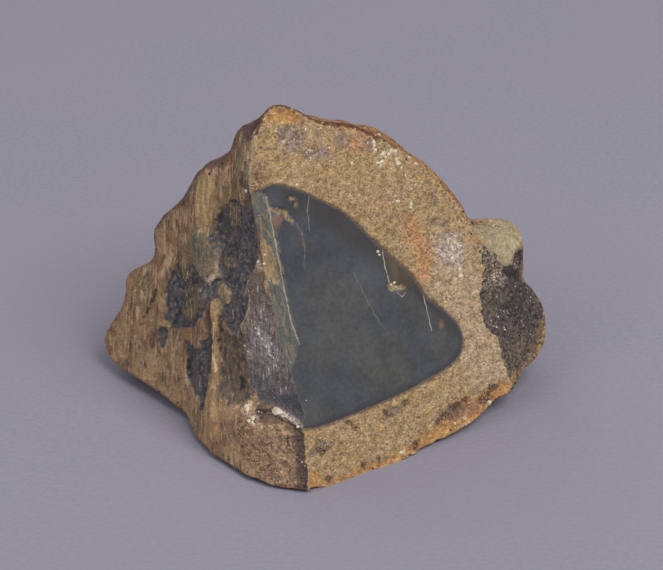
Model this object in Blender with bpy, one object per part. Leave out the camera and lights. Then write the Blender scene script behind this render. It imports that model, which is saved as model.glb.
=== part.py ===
"""A broken flint nodule, modelled in the order in which the real one came about.

The whole nodule is a ball of stone pressed flat on several sides, with a lobed knob on its right.
Cuts then shape it: the nearly flat main break that faces the front right, the ribbed left break,
the granular break across the knob, and the small flat spot that it rests on.

Metres, +Z up. The origin is at the bottom centre of the stone's box, and -Y is the front.
"""

import math

import bmesh
import bpy
import numpy as np
from mathutils import Matrix, Vector, noise

MM = 0.001

# The whole nodule: its middle, and the flat sides that its skin is pressed to. A side faces an
# azimuth (0 is the front, 90 the right) and a tilt above level, at a distance from the middle.
MIDDLE = Vector((0.0, 4.0, 23.0)) * MM
SIDES = {
    "crown": (160, 64, 27.4),
    "shoulder": (112, 38, 26.6),
    "right": (98, 2, 29.6),
    "right_under": (85, -48, 38.2),
    "back": (178, 8, 28.0),
    "back_top": (-170, 45, 32.0),
    "left_slope": (-92, 36, 27.9),
    "left_rear": (-130, 22, 28.0),
    "left_back": (-100, -5, 43.4),
    "left_under": (-75, -58, 38.1),
    "back_under": (180, -50, 30.0),
    "under": (0, -90, 23.1),
    "front": (-10, 5, 44.0),
}
SIDE_SHARPNESS = 10
SKIN_ROUNDS = 6
SKIN_LUMP = (11.0 * MM, 0.9 * MM)
SKIN_WART = (3.5 * MM, 0.35 * MM)

# Swells of the skin, and dents below nought: where each is, how far it rises and how wide it is.
SWELLS = (
    ((-8.0, 2.5, 56.0), 3.6, 3.5),
    ((-11.5, 5.5, 52.5), -1.8, 4.0),
    ((-16.0, 6.0, 47.5), -3.0, 6.0),
    ((-21.5, 5.5, 42.5), 2.0, 4.5),
    ((-29.5, 8.0, 31.0), 1.9, 4.5),
    ((-30.5, 7.0, 23.6), -2.1, 3.0),
    ((-34.5, 9.0, 19.3), 1.3, 3.0),
    ((-36.5, 8.0, 12.5), -1.6, 4.0),
    ((-39.3, 7.5, 3.6), 2.7, 4.5),
    ((-29.5, -3.0, 1.5), -1.2, 6.0),
    ((9.0, 12.0, 49.0), -1.0, 9.0),
    ((0.5, 9.5, 0.0), 1.1, 14.0),
    ((31.0, -9.0, 3.0), 0.8, 4.5),
)

# The knob's lobes: middle and half-sizes along X, Y and Z. They blend into the skin.
LOBES = {
    "knob_low": ((31.6, 4.6, 11.0), (9.6, 9.8, 9.0)),
    "knob_high": ((28.6, 10.0, 22.2), (8.6, 9.0, 7.0)),
    "knob_foot": ((28.4, -2.8, 7.2), (7.8, 6.8, 6.6)),
    "knob_neck": ((28.0, 6.0, 17.0), (8.0, 7.0, 8.0)),
}
BLEND_STEP = 1.0 * MM
BLEND_ROUNDS = 4

# The breaks. Each starts from a point on it and faces an azimuth and a tilt, as the sides do.
FOOT_CORNER = Vector((-2.5, -31.0, 0.0)) * MM
MAIN_BREAK = (FOOT_CORNER, 31.7, 28.8)
LEFT_BREAK = (FOOT_CORNER, -45.0, 17.3)
KNOB_BREAK = (Vector((30.3, 0.6, 17.5)) * MM, 50.0, 26.0)
BREAK_REACH = 75.0 * MM
CUT_DEPTH = 45.0 * MM
FOOT_DROP = 0.6 * MM
MAIN_STEP = 2.5 * MM
MAIN_WAVE = (16.0 * MM, 0.25 * MM)
KNOB_STEP = 1.5 * MM
KNOB_WAVE = (5.0 * MM, 0.45 * MM)
LEFT_STEP = 1.0 * MM
LEFT_ROUNDS = 3

# Sections through the left break, from its foot up. Each is at a height on the break, and gives
# places across its ribs (nought at the foot corner, minus to the left) and how far it stands out.
# The ribs lean left as they rise.
RIB_LEAN = 0.25
LEFT_SECTIONS = (
    (0, ((-54, 0), (-45, 0.5), (-31, 0), (-24.7, 3.2), (-20, 4.4), (-10.5, 5.3), (-6, 4), (-3, 2), (0, 0))),
    (8, ((-52, 0), (-45, 0.8), (-38, 0.4), (-30, 0.2), (-24.7, 3.6), (-18, 4.2), (-8, 4.6), (-4, 2.2), (0, -0.3))),
    (12, ((-50, 0), (-45.8, 1), (-38, 0.6), (-29.5, 0.2), (-24.7, 3.8), (-14, 1.7), (-7, 0.3), (-2.3, -0.3))),
    (24, ((-48, 0.4), (-42, -0.5), (-38, 1), (-33, 0.2), (-28.5, 0.6), (-24.7, 3.6), (-14, 3), (-8, 1.8))),
    (36, ((-45, 0), (-38, 1.2), (-33.5, -0.3), (-27.5, 1.6), (-24.5, 0.5), (-21, 0.6), (-16, 2.3), (-12.3, 2.9))),
    (48, ((-45, 0), (-33, 0), (-27.5, 1.2), (-20.8, 0), (-18, 1.5), (-15, 3))),
    (58, ((-22, 0), (-18, 0.2), (-13, 0.6))),
)

MOST_TRIANGLES = 9500
STONE_COLOUR = (0.30, 0.22, 0.14, 1.0)


def facing(azimuth, tilt):
    """The unit vector that faces an azimuth and a tilt, in degrees."""
    a, t = math.radians(azimuth), math.radians(tilt)
    return Vector((math.sin(a) * math.cos(t), -math.cos(a) * math.cos(t), math.sin(t)))


def break_frame(start, azimuth, tilt):
    """A matrix with X level along the break, Y up it and Z out of the stone."""
    out = facing(azimuth, tilt)
    along = Vector((math.cos(math.radians(azimuth)), math.sin(math.radians(azimuth)), 0))
    turned = Matrix((along, out.cross(along), out)).transposed().to_4x4()
    return Matrix.Translation(start) @ turned


def bumps(points, size, seed):
    """Smooth noise from about -1 to 1 at each point, with bumps of about that size."""
    shift = Vector((seed * 7.3, seed * 3.1, seed * 5.7))
    return np.array([noise.fractal(Vector(p) / size + shift, 1.0, 2.0, 3) for p in points])


def points_of(bm):
    """The mesh's points as an array."""
    return np.array([v.co for v in bm.verts])


def move_points(bm, points):
    """Puts the mesh's points at the rows of an array."""
    for vertex, point in zip(bm.verts, points):
        vertex.co = point


def object_from(bm, name):
    """An object in the scene that holds the mesh, facing outwards."""
    bmesh.ops.recalc_face_normals(bm, faces=bm.faces)
    mesh = bpy.data.meshes.new(name)
    bm.to_mesh(mesh)
    bm.free()
    obj = bpy.data.objects.new(name, mesh)
    bpy.context.collection.objects.link(obj)
    return obj


def helper_from(bm, name):
    """An object that only cuts or joins: it isn't part of the stone."""
    obj = object_from(bm, name)
    obj.display_type = "WIRE"
    obj.hide_render = True
    return obj


def skin_radius(directions):
    """How far the nodule's skin is from its middle in each direction, without its lumps."""
    outward = np.array([facing(azimuth, tilt) for azimuth, tilt, _ in SIDES.values()])
    distance = np.array([distance for *_, distance in SIDES.values()]) * MM
    pressed = np.maximum(directions @ outward.T / distance, 0) ** SIDE_SHARPNESS
    return pressed.sum(axis=1) ** (-1 / SIDE_SHARPNESS)


def skin_rise(points, directions):
    """How far the skin's lumps, warts and swells stand out. The lumps are highest at the back."""
    behind = 0.35 + 0.65 * np.clip(directions[:, 1] + 0.3, 0, 1)
    lump_size, lump_height = SKIN_LUMP
    wart_size, wart_height = SKIN_WART
    rise = behind * lump_height * bumps(points, lump_size, 1)
    rise += wart_height * bumps(points, wart_size, 2)
    for place, height, width in SWELLS:
        away = np.linalg.norm(points + np.array(MIDDLE) - np.array(place) * MM, axis=1)
        rise += height * MM * np.exp(-((away / (width * MM)) ** 2))
    return rise


def whole_nodule():
    """The nodule before it broke."""
    bm = bmesh.new()
    bmesh.ops.create_icosphere(bm, subdivisions=SKIN_ROUNDS, radius=1)
    directions = points_of(bm)
    directions /= np.linalg.norm(directions, axis=1, keepdims=True)
    points = directions * skin_radius(directions)[:, None]
    points += directions * skin_rise(points, directions)[:, None]
    move_points(bm, points + np.array(MIDDLE))
    return object_from(bm, "nodule")


def knob_lobe(name, middle, half):
    """One rounded lobe of the knob."""
    bm = bmesh.new()
    bmesh.ops.create_icosphere(bm, subdivisions=4, radius=1)
    directions = points_of(bm)
    points = directions * np.array(half) * MM
    wart_size, wart_height = SKIN_WART
    points += directions * wart_height * bumps(points, wart_size, 3)[:, None]
    move_points(bm, points + np.array(middle) * MM)
    return helper_from(bm, name)


def left_relief(across, up):
    """How far the left break stands out at points across its ribs and up it."""
    heights = [height * MM for height, _ in LEFT_SECTIONS]
    rows = []
    for _, section in LEFT_SECTIONS:
        places, rises = np.array(section).T * MM
        rows.append(np.interp(across, places, rises))
    level = np.interp(up, heights, np.arange(len(heights)))
    low = np.minimum(level.astype(int), len(heights) - 2)
    share = level - low
    rows = np.array(rows)
    point = np.arange(len(across))
    return rows[low, point] * (1 - share) + rows[low + 1, point] * share


def wave_relief(wave, seed):
    """A relief function for a nearly flat break with smooth waves."""
    size, height = wave

    def relief(across, up):
        flat = np.stack([across, up, np.zeros_like(up)], axis=1)
        return height * bumps(flat, size, seed)

    return relief


def break_cutter(name, place, step, relief, lean=0.0, rounds=0):
    """A thick slab whose near face has the shape of the break."""
    steps = round(2 * BREAK_REACH / step)
    bm = bmesh.new()
    bmesh.ops.create_grid(bm, x_segments=steps, y_segments=steps, size=BREAK_REACH)
    points = points_of(bm)
    points[:, 2] = relief(points[:, 0], points[:, 1])
    points[:, 0] -= lean * points[:, 1]
    move_points(bm, points)
    for _ in range(rounds):
        bmesh.ops.smooth_vert(bm, verts=bm.verts[:], factor=0.5, use_axis_z=True)
    raised = bmesh.ops.extrude_face_region(bm, geom=bm.faces[:])["geom"]
    for vertex in (v for v in raised if isinstance(v, bmesh.types.BMVert)):
        vertex.co.z = CUT_DEPTH
    bm.transform(break_frame(*place))
    return helper_from(bm, name)


def foot_cutter():
    """A slab below the flat spot that the stone rests on, a little below the foot corner."""
    bm = bmesh.new()
    bmesh.ops.create_cube(bm, size=2 * BREAK_REACH)
    bmesh.ops.translate(bm, verts=bm.verts, vec=(0, 0, -BREAK_REACH - FOOT_DROP))
    return helper_from(bm, "foot_cutter")


def join_or_cut(obj, other, operation):
    """A Boolean of the object with another."""
    modifier = obj.modifiers.new(other.name, "BOOLEAN")
    modifier.operation = operation
    modifier.solver = "EXACT"
    modifier.object = other


def blend(obj):
    """Rounds the creases where the object's joined pieces meet."""
    remesh = obj.modifiers.new("blend_remesh", "REMESH")
    remesh.mode = "VOXEL"
    remesh.voxel_size = BLEND_STEP
    smooth = obj.modifiers.new("blend_smooth", "SMOOTH")
    smooth.iterations = BLEND_ROUNDS


def evaluated(obj):
    """The mesh that the object's modifiers give."""
    graph = bpy.context.evaluated_depsgraph_get()
    return bpy.data.meshes.new_from_object(obj.evaluated_get(graph))


def settle(obj):
    """Applies the object's modifiers, then puts the bottom centre of its box at the origin."""
    mesh = evaluated(obj)
    obj.modifiers.clear()
    obj.data = mesh
    points = np.array([v.co for v in mesh.vertices])
    low, high = points.min(axis=0), points.max(axis=0)
    mesh.transform(Matrix.Translation((-(low[0] + high[0]) / 2, -(low[1] + high[1]) / 2, -low[2])))


def thin_out(obj):
    """Merges small triangles until the stone has few enough."""
    modifier = obj.modifiers.new("thin_out", "DECIMATE")
    modifier.ratio = min(1, MOST_TRIANGLES / sum(len(p.vertices) - 2 for p in evaluated(obj).polygons))


def stone_material():
    """The stone's plain material."""
    material = bpy.data.materials.new("stone")
    material.use_nodes = True
    shader = material.node_tree.nodes["Principled BSDF"]
    shader.inputs["Base Color"].default_value = STONE_COLOUR
    shader.inputs["Roughness"].default_value = 0.8
    return material


def main():
    """Builds the stone in an empty scene."""
    for obj in list(bpy.data.objects):
        bpy.data.objects.remove(obj)
    nodule = whole_nodule()
    nodule.data.materials.append(stone_material())
    lobes = [knob_lobe(name, *shape) for name, shape in LOBES.items()]
    for lobe in lobes:
        join_or_cut(nodule, lobe, "UNION")
    blend(nodule)
    cutters = [
        break_cutter("main_break", MAIN_BREAK, MAIN_STEP, wave_relief(MAIN_WAVE, 4)),
        break_cutter("knob_break", KNOB_BREAK, KNOB_STEP, wave_relief(KNOB_WAVE, 5)),
        break_cutter("left_break", LEFT_BREAK, LEFT_STEP, left_relief, RIB_LEAN, LEFT_ROUNDS),
    ]
    for cutter in cutters:
        join_or_cut(nodule, cutter, "DIFFERENCE")
    thin_out(nodule)
    foot = foot_cutter()
    join_or_cut(nodule, foot, "DIFFERENCE")
    settle(nodule)
    for helper in [*lobes, *cutters, foot]:
        bpy.data.objects.remove(helper)


main()
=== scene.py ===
"""A broken flint nodule: its skin, its three broken faces and their finishes, in a plain studio.

Sizes are in millimetres in the class fields and become metres when a mesh is made. The frame is
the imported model's: +Z up, the origin at the bottom centre of the stone, and -Y to the front.
"""

import logging
import math
import random
from dataclasses import dataclass
from enum import Enum

import bmesh
import bpy
import numpy as np
from mathutils import Matrix, Vector, noise


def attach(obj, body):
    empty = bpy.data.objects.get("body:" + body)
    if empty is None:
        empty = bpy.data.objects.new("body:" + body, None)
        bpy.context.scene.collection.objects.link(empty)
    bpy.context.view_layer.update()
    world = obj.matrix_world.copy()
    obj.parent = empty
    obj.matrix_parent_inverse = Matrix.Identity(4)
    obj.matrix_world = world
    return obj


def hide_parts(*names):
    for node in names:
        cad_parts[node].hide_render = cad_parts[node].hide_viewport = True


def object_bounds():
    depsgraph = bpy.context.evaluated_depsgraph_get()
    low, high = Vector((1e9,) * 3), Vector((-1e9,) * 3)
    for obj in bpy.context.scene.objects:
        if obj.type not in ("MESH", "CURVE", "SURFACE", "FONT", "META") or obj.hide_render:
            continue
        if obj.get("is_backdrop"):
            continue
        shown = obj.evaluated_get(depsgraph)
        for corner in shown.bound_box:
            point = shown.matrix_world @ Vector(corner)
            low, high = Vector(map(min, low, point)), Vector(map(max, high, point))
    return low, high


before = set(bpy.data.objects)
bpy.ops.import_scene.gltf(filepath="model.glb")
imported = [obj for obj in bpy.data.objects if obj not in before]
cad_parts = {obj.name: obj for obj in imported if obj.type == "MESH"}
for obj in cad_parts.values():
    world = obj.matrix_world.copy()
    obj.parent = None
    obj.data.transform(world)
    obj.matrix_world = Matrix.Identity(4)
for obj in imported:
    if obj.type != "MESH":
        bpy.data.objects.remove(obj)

MM = 0.001
LOG = logging.getLogger("flint_nodule")
Triple = tuple[float, float, float]
Paint = tuple[int, int, int]
Socket = bpy.types.NodeSocket

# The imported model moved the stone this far, so that its box is centred.
SETTLED = np.array([-0.66, -1.20, 0.60])
NOISE_STRIDE = np.array([7.3, 3.1, 5.7])
CORNER_CUT = 0.22


class Surface(Enum):
    """The stone's kinds of surface, in the order of its material slots."""

    SKIN = 0
    MAIN_BREAK = 1
    LEFT_BREAK = 2
    KNOB_BREAK = 3

    @property
    def finish(self) -> str:
        """The name of this surface's material."""
        return self.name.lower()


def noise_places(points: np.ndarray, size: float, seed: int) -> list[list[float]]:
    """Where noise of a size is read for each point: each seed reads it somewhere else."""
    return (points / size + NOISE_STRIDE * seed).tolist()


def smooth_noise(points: np.ndarray, size: float, seed: int) -> np.ndarray:
    """Noise from about -1 to 1 that changes over a length.

    Args:
        points: One point a row, in millimetres.
        size: The length over which the noise changes.
        seed: Which noise it is.

    Returns:
        One value for each point.
    """
    return np.array([noise.noise(place) for place in noise_places(points, size, seed)])


def layered_noise(points: np.ndarray, size: float, seed: int, layers: int = 3) -> np.ndarray:
    """Noise of several sizes, each half the last.

    Args:
        points: One point a row, in millimetres.
        size: The largest length over which the noise changes.
        seed: Which noise it is.
        layers: How many sizes it adds.

    Returns:
        One value for each point.
    """
    places = noise_places(points, size, seed)
    return np.array([noise.fractal(place, 1.0, 2.0, layers) for place in places])


def grit(points: np.ndarray, kinds: tuple) -> np.ndarray:
    """Several kinds of smooth noise added together: each is a height, a size and a seed."""
    return sum(height * smooth_noise(points, size, seed) for height, size, seed in kinds)


def soft_step(value: np.ndarray, low: float, high: float) -> np.ndarray:
    """Nought below low, one above high, and a smooth rise between."""
    share = np.clip((value - low) / (high - low), 0, 1)
    return share * share * (3 - 2 * share)


def facing(azimuth: float, tilt: float) -> np.ndarray:
    """The unit vector that faces an azimuth (0 front, 90 right) and a tilt above level."""
    a, t = math.radians(azimuth), math.radians(tilt)
    return np.array([math.sin(a) * math.cos(t), -math.cos(a) * math.cos(t), math.sin(t)])


def outline_distance(along: np.ndarray, up: np.ndarray, outline: tuple) -> np.ndarray:
    """How far points are inside a closed outline, and below nought outside it.

    Args:
        along: Each point's place along the surface.
        up: Each point's place up it.
        outline: The outline's corners in order.

    Returns:
        The distance from each point to the outline.
    """
    corners = np.array(outline, float)
    nexts = np.roll(corners, -1, axis=0)
    nearest = np.full(len(along), np.inf)
    inside = np.zeros(len(along), bool)
    for (x0, y0), (x1, y1) in zip(corners, nexts):
        dx, dy = x1 - x0, y1 - y0
        share = np.clip(((along - x0) * dx + (up - y0) * dy) / (dx * dx + dy * dy + 1e-12), 0, 1)
        away = np.hypot(along - x0 - share * dx, up - y0 - share * dy)
        nearest = np.minimum(nearest, away)
        crosses = (y0 > up) != (y1 > up)
        if dy:
            inside ^= crosses & (along < x0 + (up - y0) * dx / dy)
    return np.where(inside, nearest, -nearest)


def rounded(outline: tuple, rounds: int = 2) -> tuple:
    """An outline with its corners cut, so that it curves.

    Args:
        outline: The outline's corners in order.
        rounds: How many times the corners are cut.

    Returns:
        The new corners.
    """
    for _ in range(rounds):
        corners = np.array(outline, float)
        nexts = np.roll(corners, -1, axis=0)
        near, far = 1 - CORNER_CUT, CORNER_CUT
        pairs = np.stack([near * corners + far * nexts, far * corners + near * nexts], axis=1)
        outline = tuple(map(tuple, pairs.reshape(-1, 2)))
    return outline


@dataclass(frozen=True)
class Plane:
    """A break's middle plane: a point on it, and the azimuth and tilt that it faces."""

    start: Triple
    azimuth: float
    tilt: float

    def axes(self) -> np.ndarray:
        """The directions along the break, up it and out of it, one a row.

        Returns:
            A matrix of three rows.
        """
        out = facing(self.azimuth, self.tilt)
        a = math.radians(self.azimuth)
        along = np.array([math.cos(a), math.sin(a), 0.0])
        return np.array([along, np.cross(out, along), out])

    def measure(self, points: np.ndarray) -> np.ndarray:
        """Points as places along, up and out of the break."""
        return (points - np.array(self.start) - SETTLED) @ self.axes().T

    def matrix(self) -> Matrix:
        """The matrix that puts a mesh drawn on the break where it belongs, in millimetres."""
        turn = Matrix(self.axes().tolist()).transposed().to_4x4()
        return Matrix.Translation(np.array(self.start) + SETTLED) @ turn


FOOT_CORNER = (-2.5, -31.0, 0.0)
MAIN_PLANE = Plane(FOOT_CORNER, 31.7, 28.8)
LEFT_PLANE = Plane(FOOT_CORNER, -45.0, 17.3)
KNOB_PLANE = Plane((30.3, 0.6, 17.5), 50.0, 26.0)


@dataclass(frozen=True)
class Mark:
    """A mark on a break, drawn as closed outlines and as ovals.

    An oval is its place along and up the break, its half length, its half width and its turn.
    """

    name: str
    outlines: tuple = ()
    ovals: tuple = ()
    furthest: float = 8.0

    def reach(self, along: np.ndarray, up: np.ndarray) -> np.ndarray:
        """How far points are inside the mark.

        Args:
            along: Each point's place along the break.
            up: Each point's place up it.

        Returns:
            The distance to the mark's edge in millimetres, below nought outside it.
        """
        reach = np.full(len(along), -self.furthest)
        for outline in self.outlines:
            reach = np.maximum(reach, outline_distance(along, up, rounded(outline)))
        for x, y, half_long, half_wide, turn in self.ovals:
            c, s = math.cos(math.radians(turn)), math.sin(math.radians(turn))
            long = ((along - x) * c + (up - y) * s) / half_long
            wide = ((up - y) * c - (along - x) * s) / half_wide
            oval = (1 - np.hypot(long, wide)) * min(half_long, half_wide)
            reach = np.maximum(reach, oval)
        return np.minimum(reach, self.furthest)


# Places in these outlines and ovals are along and up the break from its plane's start.
MAIN_MARKS = (
    Mark("core", (
        ((6.3, 51.9), (9.3, 52.2), (13.4, 49.8), (16.3, 47.5), (20.3, 44.4), (22.9, 40.6),
         (24.6, 38.0), (26.5, 35.5), (28.2, 33.0), (29.8, 30.7), (30.9, 28.8), (31.4, 27.1),
         (31.9, 25.2), (33.5, 23.7), (35.5, 21.3), (36.8, 19.2), (37.3, 16.8), (36.9, 14.9),
         (35.2, 13.0), (31.8, 11.9), (26.5, 11.0), (20.0, 10.3), (13.7, 10.0), (7.6, 9.8),
         (3.9, 9.9), (-2.0, 12.0), (-6.0, 30.0), (-6.0, 46.0), (3.0, 51.5)),
    )),
    Mark("shade", (
        ((9.0, 52.0), (16.3, 47.5), (22.9, 41.0), (29.0, 32.2), (34.0, 23.5), (36.8, 17.2),
         (35.6, 17.0), (32.0, 23.0), (27.0, 30.0), (21.0, 38.0), (15.0, 44.5), (9.5, 48.5)),
    )),
    Mark("umber", (
        ((26.2, 35.4), (28.0, 32.9), (29.8, 30.6), (31.1, 28.5), (31.1, 27.8), (27.7, 29.0),
         (26.1, 30.0), (26.1, 32.7)),
    )),
    Mark("dusky", (
        ((6.1, 57.2), (7.8, 56.2), (8.6, 53.8), (7.6, 51.8), (5.3, 51.7), (4.5, 53.2)),
        ((29.1, 5.0), (31.3, 5.8), (34.1, 5.3), (35.0, 3.9), (32.9, 2.7), (30.3, 2.4),
         (28.9, 3.6)),
    )),
    Mark("gap", (
        ((3.9, 44.0), (5.1, 43.3), (5.1, 40.7), (4.1, 38.6), (3.3, 39.9)),
    )),
    Mark("iron", (
        ((9.7, 62.9), (11.6, 63.8), (13.3, 64.3), (15.6, 63.9), (16.7, 62.9), (17.5, 61.6),
         (16.7, 60.9), (14, 61.8)),
        ((17.3, 61.6), (20.7, 60.9), (23.4, 59.6), (27, 57.9), (29, 57.2), (31.4, 55.7),
         (33.5, 54.2), (35, 52.8), (35.5, 51.2), (34.2, 52.3), (32.5, 53.8), (30.2, 55.1),
         (27.9, 56.2), (25.7, 57.2), (23.1, 58.7), (20.1, 60.2)),
        ((27.6, 2.6), (29.9, 4.8), (32.3, 5.7), (34.1, 6.1), (37.5, 5), (38.9, 6.1), (42.2, 6.3),
         (44, 6.3), (45.1, 5.6), (43, 4.4), (40.9, 3.2), (38.9, 2.3), (36.1, 1.7), (32.5, 1.4),
         (29.3, 0.5), (27, -0.2), (24.1, -0.4), (21, -0.5), (18.1, -0.3), (18.5, 1.1), (21.1, 1.3),
         (23.3, 1.7), (24.4, 2.5), (26.1, 2.7)),
        ((1.4, 2.7), (2.8, 3.3), (3.3, 1), (5.7, 0.2), (9.2, 0.3), (12.9, 0.5), (16, 0.4),
         (19.4, 1.2), (18.8, -0.8), (14.6, -0.9), (9.4, -1.1), (4.3, -1.2), (0.1, -0.5)),
    )),
    Mark("rust", (
        ((31.9, 40.4), (33.7, 40), (33.7, 37.9), (34.9, 36.4), (35.1, 34.3), (35.7, 32.5),
         (34.4, 30.3), (32.9, 27.5), (31, 27.6), (31.2, 29.6), (32.6, 31.6), (32.2, 34.3),
         (31.6, 35.9), (31.2, 38.2)),
    ), (
        (26.5, 54.6, 1.8, 1, 20),
    )),
    # The gloss band: a pinkish-grey sheen and white glints, both painted on the rind.
    Mark("gloss", (
        ((12.3, 61.4), (14.7, 60.9), (17, 59.9), (16.6, 57.9), (15.7, 56), (14, 56.5),
         (12.4, 57.2), (11.5, 58.9)),
        ((15.6, 56.6), (18.5, 56), (21, 55.2), (20.8, 53.6), (19.1, 54.1), (15.8, 54.6),
         (15.2, 55.3)),
        ((22.8, 57.6), (25.9, 56.6), (25.3, 54.4), (22.9, 54.5), (22.1, 56)),
        ((26.6, 56.8), (28.7, 56.2), (29.9, 54.8), (29, 52.9), (27.1, 53.4), (26.3, 55)),
    )),
    Mark("smudge", (
        ((2.5, 6.3), (4.4, 7.3), (5.8, 7.2), (7.1, 6.9), (6.8, 6), (4.9, 6.2), (3.4, 5.4),
         (2.3, 5.6)),
        ((18.1, 8.9), (19.6, 9), (21.9, 8.2), (21.5, 7.1), (19.1, 7.1), (17.8, 7.9)),
    ), (
        (38.5, 41.5, 1.2, 0.7, -50), (37.4, 37.6, 1.3, 0.5, 0), (39.6, 36.6, 1.2, 0.5, 10),
    )),
    Mark("ochre", (
        ((4.1, 43.8), (5.1, 43.2), (5.3, 40.4), (5.7, 37.8), (5.4, 35.6), (4.0, 35.7), (3.2, 36.8),
         (2.7, 39.1), (2.8, 41.3)),
        ((6.8, 48.4), (8.1, 48.2), (9.4, 47.7), (10.2, 46.4), (10.8, 44.8), (10.0, 44.7),
         (9.3, 46.0), (8.7, 47.0), (7.1, 47.5)),
    ), (
        (26.3, 28.9, 1.6, 0.7, -15), (11.3, 48.9, 0.5, 0.3, 0), (11.9, 47.8, 0.5, 0.3, 60),
    )),
    Mark("red", (
        ((6.9, 47.1), (7.8, 47.4), (8.8, 46.8), (8.6, 45.5), (7.2, 44.3), (6.6, 45.7)),
    ), (
        (4.7, 45.4, 0.9, 0.35, 80), (11.4, 41.6, 0.8, 0.25, 80), (33.6, 19.8, 0.6, 0.7, 0),
    )),
    Mark("bleach", (), (
        (39.5, 19.0, 16.0, 7.0, 100), (40.5, 27.5, 4.0, 3.0, 90),
    )),
    Mark("flaked", (
        ((3.0, 53.0), (7.2, 51.6), (6.9, 46.0), (6.6, 38.0), (5.7, 30.0), (5.6, 24.0), (2.0, 20.0),
         (-6.0, 22.0), (-6.0, 50.0)),
    )),
    Mark("iron_red", (
        ((29.4, 4.6), (32.3, 5.5), (34.1, 5.9), (37.4, 4.7), (37.9, 3.6), (36.4, 2.7), (34.2, 2.5),
         (31.4, 2.6), (29.7, 3.2)),
    )),
    Mark("dark", (
        ((29.2, 5.2), (30.7, 4.5), (30.1, 3.1), (28.5, 3.6)),
        ((31.2, 6.1), (33.7, 5.4), (33.6, 4.2), (31.2, 4.2)),
        ((34.1, 6.5), (35.5, 5.6), (34.9, 4.9), (33.7, 5.4)),
        ((37.7, 5.7), (40.2, 5.3), (39.5, 3.6), (37.9, 3.4), (37.1, 4.4)),
        ((39.5, 6.6), (42.3, 6.5), (42.2, 5.4), (39.3, 5.2)),
        ((21.9, 1.8), (23.8, 1.9), (23.8, 0.5), (21.9, 0)),
        ((27.6, 4.1), (28.6, 4.1), (28.1, 2.8), (27, 2.8)),
        ((4.1, 6.5), (6.4, 6.1), (6.1, 5.1), (4.5, 4.9), (3.7, 5.5)),
        ((10.5, 9.3), (11.9, 8.7), (11.5, 8.1), (10.4, 8.6)),
        ((11.2, 8.5), (12.6, 7.7), (12.5, 6.5), (11.4, 7)),
        ((18, 8.5), (19.1, 8.7), (19.5, 7.3), (18.6, 6.9), (17.8, 7.7)),
        ((21.8, 9.4), (23.4, 9.2), (23.2, 7.7), (21.8, 7.9)),
        ((11.5, 1.7), (12.7, 1.1), (12, -0.1), (11.1, 0.4)),
        ((14, 1.4), (15.4, 1.2), (14.9, 0.2), (14, 0.5)),
        ((4.3, 1.5), (5.7, 0.7), (4.9, -0.3), (3.9, 0.4)),
    )),
    # The sheen patch: pale grey with white glints, a painted sheen on the rind.
    Mark("sheen_patch", (
        ((37.1, 35.3), (42, 34.4), (42.3, 31), (40.4, 27.9), (38.2, 28.9), (36.5, 30.5),
         (36, 32.8)),
    )),
)

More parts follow.
